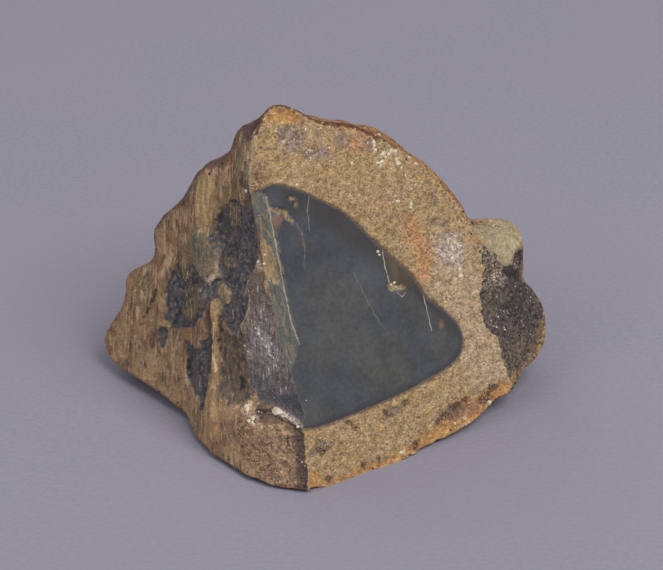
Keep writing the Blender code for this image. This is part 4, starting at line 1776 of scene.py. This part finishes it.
    def core(self, wires: Wires, place: Socket, shade: Socket) -> Socket:
        """The colour of the smooth core.

        Args:
            wires: The material's wires.
            place: The surface's place.
            shade: The mask of the core's brown upper edge.

        Returns:
            The colour.
        """
        colour = wires.mix(wires.cloud(place, 10.0, 0.38, 0.62, 3.0), (67, 69, 72), (76, 75, 72))
        colour = wires.lay(colour, wires.step(wires.axis(place, "Y"), 26.0, 44.0), (54, 58, 66), 0.75)
        colour = wires.shade(colour, wires.cloud(place, 0.7, 0.34, 0.66), 0.12)
        colour = wires.shade(colour, wires.cloud(wires.scaled(place, 1.2), 4.0, 0.4, 0.62), 0.1)
        colour = wires.lay(colour, shade, (52, 46, 40), 0.7)
        colour = wires.lay(colour, wires.step(wires.attribute("core"), 1.6, 0.0), (40, 41, 54), 0.7)
        streaks = wires.place(MAIN_PLANE, stretch=(1.0, 4.0, 1.0), turn=4.0)
        for stain in self.flint_stains:
            colour = wires.stain(colour, stain, place, streaks)
        for points, width, tint, strength in self.hairlines:
            colour = wires.line(colour, place, points, width, tint, strength)
        return colour

    def wire(self, wires: Wires) -> Coat:
        """Wires the core, the rind, the stains, the hairlines and the worn ridge.

        Args:
            wires: The material's wires.

        Returns:
            The coat.
        """
        place = wires.place(MAIN_PLANE)
        grain = wires.effect(Effect.GRAIN, place, Size=self.grain_size)
        rind = self.rim(wires, place, self.rind(wires, place))
        calm = wires.times_plus(wires.inside("iron", place, 0.5, 0.4), -0.3, 0.6)
        rind = wires.shade(rind, grain.outputs["Tone"], calm)
        uneven = wires.cloud(wires.scaled(place, 1.1), 1.3, 0.36, 0.64)
        rind = wires.shade(rind, uneven, 0.16)
        rind = wires.speckle(rind, place, 1.0, self.grain_specks, 0.6)
        shade = wires.inside("shade", place, fray=0.5, soft=1.5, size=3.0)
        reach = wires.attribute("core")
        wander = wires.wandering(place, 1.2, 0.4, -0.2)
        soft = wires.times_plus(shade, 0.65, 0.14)
        smooth = wires.step(wires.math("ADD", wander, reach), wires.times(soft, -1.0), soft)
        seam = wires.times(wires.step(reach, -0.55, -0.1), wires.step(reach, 0.4, 0.05))
        colour = wires.mix(smooth, rind, self.core(wires, place, shade))
        colour = wires.lay(colour, seam, (78, 60, 48), 0.6)
        worn = wires.wandering(place, 0.9, 1.8, wires.attribute("behind_left"))
        worn = wires.times(wires.step(worn, 1.2, 0.8), wires.times_plus(smooth, -0.7, 1.0))
        colour = wires.lay(colour, worn, (156, 132, 102), 0.6)
        flaked = wires.inside("flaked", place, 0.5, 0.3)
        smooth = wires.times(smooth, wires.times_plus(flaked, -0.5, 1.0))
        roughness = wires.times_plus(smooth, -0.42, 0.84)
        rough = wires.rest(smooth)
        height = wires.times(wires.times(grain.outputs["Height"], rough), 0.2)
        return Coat(colour, roughness, height)


@dataclass(frozen=True)
class CrustFinish(Finish):
    """The ribbed break: a brown crust, chipped through to dark flint."""

    name: str = Surface.LEFT_BREAK.finish
    grain_size: float = 0.4
    stains: tuple = (
        Stain("lobe", (116, 112, 90), (134, 114, 90), 1.2, 0.85, 1.0, 0.6, 0.4),
        Stain("lobe", (86, 88, 80), (96, 90, 80), 1.0, 0.8, 0.4, 0.6, 0.4),
        # Partly painted light: the lit band's yellowish brown is painted paler, as a rib's lit side.
        Stain("lit_band", (192, 164, 118), (158, 130, 88), 0.7, 0.85, 1.0, 0.5, 0.4),
        Stain("strip", (86, 84, 76), (118, 104, 82), 0.8, 0.85, 1.0, 0.5, 0.4),
        Stain("strip", (58, 54, 54), (70, 62, 58), 0.7, 0.8, 0.35, 0.5, 0.3),
        Stain("strip", (186, 160, 118), (160, 120, 80), 0.6, 0.85, 0.25, 0.5, 0.3),
        Stain("streaked", (72, 64, 62), (102, 88, 72), 0.7, 0.92, 1.0, 0.7, 0.5),
        Stain("streaked", (152, 126, 92), (122, 100, 76), 0.6, 0.8, 0.25, 0.6, 0.4),
        Stain("thread", (188, 152, 108), (156, 122, 84), 0.7, 0.8, 1.0, 0.5, 0.35),
        # Painted highlight: a pale ochre fringe on the broken crust round the flint patches.
        Stain("patch", (166, 142, 108), (120, 96, 72), 0.9, 0.6, 0.45, 0.6, 0.6,
              shift=0.5, size=1.8, streaky=False),
        Stain("patch", (60, 61, 68), (88, 85, 85), 1.9, 0.97, 1.0, 0.6, 0.35, size=1.8, streaky=False),
        Stain("patch", (128, 120, 110), (142, 124, 100), 0.9, 0.7, 0.27, 0.75, 0.3,
              shift=-0.3, size=1.8, streaky=False),
        Stain("patch", (96, 94, 92), (112, 104, 96), 1.2, 0.5, 0.35, 0.75, 0.3, shift=-0.2, size=1.8),
        Stain("patch", (34, 34, 44), (40, 40, 50), 1.3, 0.75, 0.28, 0.6, 0.35, size=1.8, streaky=False),
        Stain("island", (132, 112, 84), (92, 80, 66), 1.1, 0.85, 0.8, 0.9, 0.6, size=1.4, streaky=False),
        Stain("island", (192, 170, 128), (166, 142, 104), 0.7, 0.7, 0.25, 0.9, 0.5, size=1.0),
        Stain("flake", (172, 144, 102), (116, 102, 78), 0.6, 0.88, 1.0, 0.4, 0.3),
        Stain("facet", (154, 142, 134), (124, 115, 110), 0.9, 0.94, 1.0, 0.7, 0.5),
        Stain("facet", (158, 136, 106), (140, 120, 94), 0.9, 0.55, 0.3, 0.7, 0.5),
        Stain("facet", (72, 66, 66), (82, 74, 72), 0.55, 0.7, 0.28, 0.7, 0.5),
        Stain("glint", (176, 172, 174), (150, 146, 150), 0.6, 0.7, 0.6, 0.8, 1.2),
        Stain("foot", (60, 61, 74), (84, 80, 82), 0.9, 0.85, 1.0, 0.5, 0.6),
        Stain("block", (150, 121, 93), (174, 143, 108), 1.6, 0.95, 1.0, 0.5, 0.4, streaky=False),
        Stain("block", (106, 83, 68), (120, 93, 74), 1.4, 0.8, 0.33, 0.5, 0.4, streaky=False),
        Stain("block", (176, 140, 92), (182, 150, 112), 1.1, 0.7, 0.25, 0.5, 0.4, streaky=False),
        Stain("block_edge", (102, 82, 66), (76, 59, 52), 0.8, 0.85, 1.0, 0.9, 0.5, size=1.5, streaky=False),
        Stain("block_rim", (200, 188, 176), (150, 134, 126), 0.6, 0.85, 0.8, 0.3, 0.3, streaky=False),
        Stain("shadowed", (76, 58, 56), (104, 80, 68), 0.7, 0.8, 1.0, 0.5, 0.4, streaky=False),
        Stain("scuff", (232, 218, 198), (196, 172, 144), 0.5, 0.85, 0.65, 0.6, 0.3,
              size=1.0, streaky=False),
        Stain("nicks", (34, 26, 28), (46, 36, 34), 0.6, 0.9, 1.0, 0.5, 0.35, size=1.0, streaky=False),
    )
    # For each scratch: its places along and up the break, its width, colour and strength.
    scratches: tuple = (
        (((-25.7, 21.3), (-25.2, 18.5), (-24.7, 16.4), (-23.7, 14.5), (-23.2, 13.0)), 0.28,
         (222, 192, 148), 0.85),
        (((-25.2, 14.9), (-24.5, 13.1), (-24.1, 10.2)), 0.24, (216, 192, 156), 0.85),
        (((-33.5, 8.3), (-32.5, 6.4), (-31.5, 4.9)), 0.16, (214, 192, 160), 0.7),
        (((-26.8, 10.6), (-26.1, 7.8)), 0.14, (178, 160, 128), 0.8),
        (((-19.9, 28.6), (-19.3, 26.2), (-19.9, 24.1), (-20.0, 22.1)), 0.24, (184, 160, 128), 0.8),
        (((-36.4, 28.5), (-32.6, 27.3), (-29.5, 26.7), (-29.7, 28.1), (-29.0, 29.6), (-29.5, 30.9)), 0.22,
         (180, 158, 142), 0.85),
        (((-33.0, 33.6), (-32.1, 32.9), (-29.9, 32.2), (-29.5, 30.9)), 0.2, (166, 136, 122), 0.7),
        (((-35.1, 35.1), (-34.8, 33.7)), 0.16, (196, 176, 148), 0.8),
        (((-34.0, 35.5), (-33.5, 34.2)), 0.16, (196, 176, 148), 0.8),
        (((-22.8, 24.8), (-22.4, 23.4)), 0.2, (168, 160, 158), 0.8),
    )

    # Streaks: how much the pattern is stretched, its size and threshold, their colour and strength.
    streaked_layers: tuple = (
        (1.0, 2.2, 0.48, (104, 84, 62), 0.6),
        (1.3, 3.0, 0.52, (152, 106, 74), 0.6),
        (0.8, 2.6, 0.53, (122, 110, 78), 0.7),
        (1.6, 1.2, 0.52, (198, 170, 132), 0.65),
        (1.9, 1.0, 0.56, (76, 57, 47), 0.75),
    )
    # Painted glints: pale specks on the facet, and whiter ones on its glint.
    facet_glints: tuple = (Specks(1.0, 0.55, 0.2, (204, 196, 190), 0.65),)
    glint_specks: tuple = (Specks(0.9, 0.6, 0.5, (240, 240, 246), 0.95),)
    block_specks: tuple = (
        Specks(1.0, 0.7, 0.16, (74, 54, 48), 0.7),
        Specks(1.1, 0.6, 0.1, (216, 196, 168), 0.6),
    )
    block_edge_specks: tuple = (
        Specks(0.95, 0.9, 0.5, (38, 28, 30), 0.9),
        Specks(1.25, 0.6, 0.18, (204, 188, 168), 0.8),
    )
    rim_specks: tuple = (Specks(1.0, 0.7, 1.0, (54, 36, 42), 0.85),)
    foot_specks: tuple = (
        Specks(0.93, 0.8, 0.4, (36, 26, 28), 0.9),
        Specks(1.21, 0.6, 0.18, (206, 190, 166), 0.8),
    )

    def crust(self, wires: Wires, place: Socket, streaks: Socket) -> Socket:
        """The colour of the brown crust, with its reddish, olive and dark streaks.

        Args:
            wires: The material's wires.
            place: The surface's place.
            streaks: The place stretched along the streaks.

        Returns:
            The colour.
        """
        colour = wires.mix(wires.cloud(place, 2.0, 0.38, 0.62), (140, 111, 81), (160, 132, 100))
        for factor, size, low, tint, strength in self.streaked_layers:
            mask = wires.cloud(wires.scaled(streaks, factor), size, low, low + 0.1)
            colour = wires.lay(colour, mask, tint, strength)
        low = wires.step(wires.axis(place, "Y"), 20.0, 6.0)
        pale = wires.times(low, wires.cloud(place, 4.0, 0.42, 0.58))
        return wires.lay(colour, pale, (184, 150, 110), 0.6)

    def sparkle(self, wires: Wires, place: Socket, streaks: Socket, colour: Socket) -> Socket:
        """Lays the facet's painted glints and the block's black and pale specks.

        Args:
            wires: The material's wires.
            place: The surface's place.
            streaks: The place stretched along the streaks.
            colour: What is painted so far.

        Returns:
            The new colour.
        """
        facet = wires.inside("facet", place, 0.7, 0.5)
        glint = wires.inside("glint", place, 0.8, 1.2)
        up = wires.axis(place, "Y")
        colour = wires.lay(colour, wires.times(facet, wires.step(up, 20.0, 14.5)), (88, 89, 94), 0.6)
        colour = wires.lay(colour, wires.times(facet, wires.step(up, 24.0, 29.0)), (106, 92, 80), 0.6)
        colour = wires.speckle(colour, streaks, facet, self.facet_glints)
        colour = wires.speckle(colour, streaks, glint, self.glint_specks)
        block = wires.inside("block", place, 0.5, 0.5)
        edge = wires.inside("block_edge", place, 0.7, 0.5)
        colour = wires.speckle(colour, place, block, self.block_specks)
        return wires.speckle(colour, place, edge, self.block_edge_specks)

    def edges(self, wires: Wires, place: Socket, colour: Socket) -> Socket:
        """Lays the dark speckled edge next to the skin and the worn edge along the main break.

        Args:
            wires: The material's wires.
            place: The surface's place.
            colour: What is painted so far.

        Returns:
            The new colour.
        """
        depth, up = wires.attribute("depth"), wires.axis(place, "Y")
        rim = wires.step(wires.wandering(place, 1.4, 2.2, depth), 2.1, 1.2)
        rust = wires.mix(wires.step(up, 20.0, 34.0), (140, 94, 70), (96, 70, 62))
        colour = wires.lay(colour, rim, rust, 0.7)
        higher = wires.times_plus(wires.step(up, 36.0, 50.0), 0.4, 0.2)
        share = wires.times(wires.step(depth, 2.0, 0.2), higher)
        colour = wires.speckle(colour, place, share, self.rim_specks, 0.4)
        behind = wires.attribute("behind_main")
        dark = wires.step(wires.wandering(place, 1.3, 2.4, behind), 2.6, 1.7)
        foot = wires.times(dark, wires.step(up, 10.6, 9.4))
        colour = wires.lay(colour, foot, (78, 60, 54), 0.85)
        colour = wires.speckle(colour, place, foot, self.foot_specks)
        worn = wires.step(wires.wandering(place, 1.2, 0.9, behind), 0.85, 0.45)
        worn = wires.times(worn, wires.step(up, 19.0, 25.0))
        return wires.lay(colour, worn, (190, 168, 136), 0.6)

    def wire(self, wires: Wires) -> Coat:
        """Wires the crust, its chips, flakes, facet, block and scratches.

        Args:
            wires: The material's wires.

        Returns:
            The coat.
        """
        place = wires.place(LEFT_PLANE)
        streaks = wires.place(LEFT_PLANE, stretch=(1.0, 4.5, 1.0), turn=14.0)
        grain = wires.effect(Effect.GRAIN, place, Size=self.grain_size)
        colour = self.crust(wires, place, streaks)
        for stain in self.stains:
            colour = wires.stain(colour, stain, place, streaks if stain.streaky else place)
        colour = self.sparkle(wires, place, streaks, colour)
        for points, width, tint, strength in self.scratches:
            colour = wires.line(colour, place, points, width, tint, strength)
        colour = self.edges(wires, place, colour)
        kept = wires.rest(wires.inside("island", place, 0.9, 0.5))
        bare = wires.times(wires.inside("patch", place, fray=0.75, soft=0.3, size=1.8), kept)
        facet = wires.times(wires.inside("facet", place), 0.5)
        granular = wires.math("MAXIMUM", wires.inside("block", place), facet)
        amount = wires.times_plus(granular, 0.28, wires.times_plus(bare, -0.14, 0.3))
        colour = wires.shade(colour, grain.outputs["Tone"], amount)
        roughness = wires.times_plus(bare, -0.38, 0.78)
        rough = wires.times_plus(granular, 0.6, wires.times_plus(bare, -0.4, 0.5))
        height = wires.times(wires.times(grain.outputs["Height"], rough), 0.18)
        return Coat(colour, roughness, height)


@dataclass(frozen=True)
class KnobFinish(Finish):
    """The knob's break: dark coarse grains under a pale chalky cap."""

    name: str = Surface.KNOB_BREAK.finish
    grain_size: float = 0.6
    stains: tuple = (
        Stain("heart", (44, 36, 38), (62, 52, 50), 0.8, 0.6, 0.8, 0.9, 1.6),
        Stain("tawny", (112, 96, 74), (86, 72, 62), 0.8, 0.7, 0.9, 0.9, 1.2),
        Stain("mixed", (138, 120, 98), (76, 63, 58), 0.7, 0.9, 1.0, 0.6, 0.6),
        Stain("mixed", (190, 172, 136), (168, 150, 122), 0.5, 0.9, 0.22, 0.6, 0.5),
        Stain("crumbs", (196, 184, 164), (164, 150, 128), 0.6, 0.9, 0.3, 0.6, 0.5),
        Stain("cap", (180, 164, 130), (162, 144, 104), 1.2, 1.0, 1.0, 0.7, 0.4),
        Stain("cap", (140, 130, 104), (158, 136, 114), 0.9, 0.6, 0.35, 0.6, 0.3),
        Stain("cap", (204, 192, 158), (196, 182, 146), 0.9, 0.6, 0.25, 0.6, 0.3),
        Stain("hollow", (44, 36, 38), (60, 50, 46), 0.6, 0.92, 1.0, 0.5, 0.4),
        Stain("lip", (162, 130, 82), (126, 98, 66), 0.7, 0.8, 0.8, 0.5, 0.35),
    )

    coarse_specks: tuple = (
        Specks(1.0, 0.8, 0.25, (166, 153, 139), 0.85),
        Specks(1.4, 0.6, 0.16, (206, 194, 178), 0.9),
        Specks(1.13, 0.9, 0.45, (22, 16, 19), 0.95),
    )

    def wire(self, wires: Wires) -> Coat:
        """Wires the dark grains, the cap, the crumbs between them and the lip.

        Args:
            wires: The material's wires.

        Returns:
            The coat.
        """
        place = wires.place(KNOB_PLANE)
        grain = wires.effect(Effect.GRAIN, place, Size=self.grain_size)
        tone = grain.outputs["Tone"]
        colour = wires.mix(wires.cloud(place, 2.4, 0.42, 0.62), (62, 54, 54), (84, 71, 62))
        mottled = wires.cloud(wires.scaled(place, 1.2), 0.8, 0.44, 0.58, 3.0)
        colour = wires.lay(colour, mottled, (112, 97, 86), 0.7)
        colour = wires.speckle(colour, place, 1.0, self.coarse_specks)
        capped = wires.inside("cap", place, 0.6, 0.3)
        for stain in self.stains:
            colour = wires.stain(colour, stain, place, place)
            if stain.mark == "mixed":
                mixed = wires.inside("mixed", place, 0.6, 0.6)
                colour = wires.speckle(colour, wires.scaled(place, 1.1), mixed, self.coarse_specks)
        thin = wires.step(wires.wandering(place, 1.4, 1.2, wires.attribute("depth")), 1.1, 0.6)
        colour = wires.lay(colour, thin, (140, 112, 76), 0.5)
        colour = wires.shade(colour, tone, wires.times_plus(capped, -0.5, 0.8))
        height = wires.times(grain.outputs["Height"], wires.times_plus(capped, -0.15, 0.25))
        return Coat(colour, wires.times_plus(tone, -0.2, 0.85), height)


@dataclass(frozen=True)
class SkinFinish(Finish):
    """The nodule's own skin: ochre to pale brown, pitted and speckled with black."""

    name: str = Surface.SKIN.finish
    grain_size: float = 0.45

    # Patches: how much the pattern is stretched, its size and threshold, their colour and strength.
    patches: tuple = (
        (1.0, 11.0, 0.5, (204, 186, 156), 0.6),
        (1.31, 8.0, 0.52, (168, 116, 68), 0.6),
        (0.83, 7.0, 0.55, (128, 116, 104), 0.5),
    )
    dark_specks: tuple = (Specks(1.0, 0.8, 1.0, (54, 38, 38), 0.85),)
    pale_specks: tuple = (Specks(1.17, 0.8, 0.1, (214, 196, 162), 0.5),)

    def stained(self, wires: Wires, place: Socket) -> Socket:
        """The skin's colour with its chalky, iron-stained and grey patches.

        Args:
            wires: The material's wires.
            place: The surface's place.

        Returns:
            The colour.
        """
        colour = wires.mix(wires.cloud(place, 2.2, 0.36, 0.64), (156, 126, 90), (168, 140, 106))
        for factor, size, low, tint, strength in self.patches:
            mask = wires.cloud(wires.scaled(place, factor), size, low, low + 0.13, 5.0)
            colour = wires.lay(colour, mask, tint, strength)
        return colour

    def near(self, wires: Wires, place: Socket, face: str, far: float) -> Socket:
        """A mask that fades behind a break's edge."""
        behind = wires.wandering(place, 2.2, 0.6 * far, wires.attribute(f"behind_{face}"))
        return wires.step(behind, far * 1.2, far * 0.6)

    def wire(self, wires: Wires) -> Coat:
        """Wires the skin, its pits, its stains next to the breaks, the knob's dark cheek and its specks.

        Args:
            wires: The material's wires.

        Returns:
            The coat.
        """
        place = wires.place()
        grain = wires.effect(Effect.GRAIN, place, Size=self.grain_size)
        colour = self.stained(wires, place)
        above = wires.axis(place, "Z")
        knob = wires.times(wires.step(wires.axis(place, "X"), 17.0, 22.0), wires.step(above, 34.0, 30.0))
        rusty = wires.cloud(place, 1.2, 0.42, 0.58)
        rust = wires.mix(rusty, (172, 118, 66), (118, 82, 58))
        colour = wires.lay(colour, self.near(wires, place, "main", 15.0), rust, 0.9)
        colour = wires.lay(colour, self.near(wires, place, "left", 9.0), (118, 92, 70), 0.85)
        colour = wires.lay(colour, self.near(wires, place, "left", 2.5), (84, 58, 54), 0.75)
        chalky = wires.step(above, 22.0, 24.0)
        chalk = wires.mix(rusty, (174, 158, 122), (150, 136, 104))
        shoulder = wires.times(knob, self.near(wires, place, "knob", 7.0))
        colour = wires.lay(colour, shoulder, wires.mix(chalky, (164, 138, 98), chalk), 0.85)
        cheek = wires.times(knob, self.near(wires, place, "knob", 1.4))
        colour = wires.lay(colour, wires.attribute("pit"), (92, 68, 50), 0.6)
        share = wires.times_plus(self.near(wires, place, "main", 8.0), 0.3, 0.1)
        colour = wires.speckle(colour, place, share, self.dark_specks, 0.4)
        colour = wires.speckle(colour, place, 1.0, self.pale_specks, 0.6)
        colour = wires.lay(colour, cheek, wires.mix(chalky, (76, 64, 58), chalk), 0.95)
        crown = wires.times(self.near(wires, place, "main", 2.2), wires.step(above, 46.0, 52.0))
        colour = wires.lay(colour, crown, (74, 42, 36), 0.85)
        colour = wires.shade(colour, grain.outputs["Tone"], 0.5)
        height = wires.times(grain.outputs["Height"], 0.18)
        return Coat(colour, 0.86, height)


@dataclass(frozen=True)
class QuartzFinish(Finish):
    """The pale grains: cloudy quartz with a soft gloss."""

    name: str = "quartz"

    def wire(self, wires: Wires) -> Coat:
        """Wires the grains' cloudy colour."""
        cloud = wires.cloud(wires.place(), 0.8, 0.35, 0.65, 2.0)
        return Coat(wires.mix(cloud, (196, 182, 150), (226, 214, 192)), 0.5, None)


@dataclass(frozen=True)
class FloorFinish(Finish):
    """The floor: pale matt paper of a lavender grey."""

    name: str = "floor"

    def wire(self, wires: Wires) -> Coat:
        """Wires the paper's faint fibres.

        Args:
            wires: The material's wires.

        Returns:
            The coat.
        """
        fibre = wires.noise(wires.place(stretch=(1.6, 1.0, 1.0)), 0.7, 4.0)
        colour = wires.mix(wires.step(fibre, 0.36, 0.64), (138, 135, 147), (143, 139, 151))
        cloud = wires.cloud(wires.place(), 60.0, 0.35, 0.65, 2.0)
        colour = wires.lay(colour, cloud, (144, 137, 150), 0.4)
        return Coat(colour, 0.9, wires.times(fibre, 0.12))


@dataclass(frozen=True)
class Lamp:
    """A square soft light that faces the stone, in degrees, millimetres and watts."""

    name: str
    azimuth: float
    tilt: float
    distance: float
    side: float
    watts: float

    def build(self) -> None:
        """Hangs the light."""
        data = bpy.data.lights.new(self.name, "AREA")
        data.size, data.energy = self.side * MM, self.watts
        obj = bpy.data.objects.new(self.name, data)
        away = Vector(facing(self.azimuth, self.tilt))
        obj.location = away * self.distance * MM
        obj.rotation_euler = away.to_track_quat("Z", "Y").to_euler()
        bpy.context.collection.objects.link(obj)


@dataclass
class Studio:
    """The floor, the lights and the camera, in millimetres."""

    floor_side: float = 8000.0
    lamps: tuple[Lamp, ...] = (
        Lamp("key", 50.0, 55.0, 1100.0, 700.0, 9.0),
        Lamp("fill_0", -60.0, 40.0, 1300.0, 900.0, 3.0),
        Lamp("fill_1", 215.0, 45.0, 1300.0, 900.0, 3.2),
    )
    sky: Triple = (0.30, 0.30, 0.33)
    target: Triple = (1.04, -12.2, 29.8)
    elevation: float = 32.0
    distance: float = 420.0
    lens: float = 132.6

    def floor(self) -> bpy.types.Object:
        """Makes the floor, in metres.

        Returns:
            The floor.
        """
        bm = bmesh.new()
        bmesh.ops.create_grid(bm, x_segments=4, y_segments=4, size=self.floor_side / 2 * MM)
        obj = object_from(bm, "floor")
        dress(obj, "floor")
        return obj

    def camera(self) -> None:
        """Sets the camera, which looks along +Y and down."""
        data = bpy.data.cameras.new("camera")
        data.lens = self.lens
        obj = bpy.data.objects.new("camera", data)
        obj.location = (Vector(self.target) + Vector(facing(0, self.elevation)) * self.distance) * MM
        obj.rotation_euler = (math.radians(90 - self.elevation), 0, 0)
        bpy.context.collection.objects.link(obj)
        bpy.context.scene.camera = obj

    def build(self) -> bpy.types.Object:
        """Makes the studio.

        Returns:
            The floor.
        """
        for lamp in self.lamps:
            lamp.build()
        world = bpy.data.worlds.new("studio")
        world.use_nodes = True
        world.node_tree.nodes["Background"].inputs["Color"].default_value = (*self.sky, 1)
        bpy.context.scene.world = world
        bpy.context.scene.view_settings.view_transform = "Standard"
        self.camera()
        return self.floor()


def write_sizes(packed: tuple[Vector, Vector], shown: tuple[Vector, Vector]) -> None:
    """Args:
        packed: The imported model's box: its low corner and its high one.
        shown: The same for what is shown.
    """
    boxes = {"cad": packed, "visual": shown}
    {name: [list(corner) for corner in box] for name, box in boxes.items()}


def main() -> None:
    """Builds the finishes, the stone, its grains and the studio, and reports each piece."""
    logging.basicConfig(level=logging.INFO, format="%(name)s: %(message)s")
    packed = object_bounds()
    EffectMaker().build()
    for finish in (SkinFinish(), RindFinish(), CrustFinish(), KnobFinish(), QuartzFinish(), FloorFinish()):
        finish.build()
    stone = Stone(
        WholeNodule(),
        (
            MainBreak(
                "main", Surface.MAIN_BREAK, MAIN_PLANE, MAIN_MARKS, low=(-12, -6), high=(54, 70), step=0.36
            ),
            KnobBreak(
                "knob", Surface.KNOB_BREAK, KNOB_PLANE, KNOB_MARKS, low=(-8, -18), high=(16, 20), step=0.35
            ),
            LeftBreak(
                "left", Surface.LEFT_BREAK, LEFT_PLANE, LEFT_MARKS, low=(-56, -6), high=(8, 66), step=0.31,
                lean=0.25, rounds=14,
            ),
        ),
    ).build()
    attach(stone, "root")
    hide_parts("nodule")
    LOG.info("%s: %d faces", stone.name, len(stone.data.polygons))
    grains = SetGrains(
        stone,
        tuple(
            (plane, *grain)
            for plane, grains in ((MAIN_PLANE, MAIN_GRAINS), (LEFT_PLANE, LEFT_GRAINS))
            for grain in grains
        ),
        (
            (MAIN_PLANE, mark_named(MAIN_MARKS, "gloss"), 30, 0.13),
            (LEFT_PLANE, mark_named(LEFT_MARKS, "glint"), 26, 0.13),
            (LEFT_PLANE, mark_named(LEFT_MARKS, "facet"), 26, 0.11),
        ),
    ).build()
    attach(grains, "root")
    LOG.info("%s: %d faces", grains.name, len(grains.data.polygons))
    Studio().build()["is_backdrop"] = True
    write_sizes(packed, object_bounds())


if __name__ == "__main__":
    main()
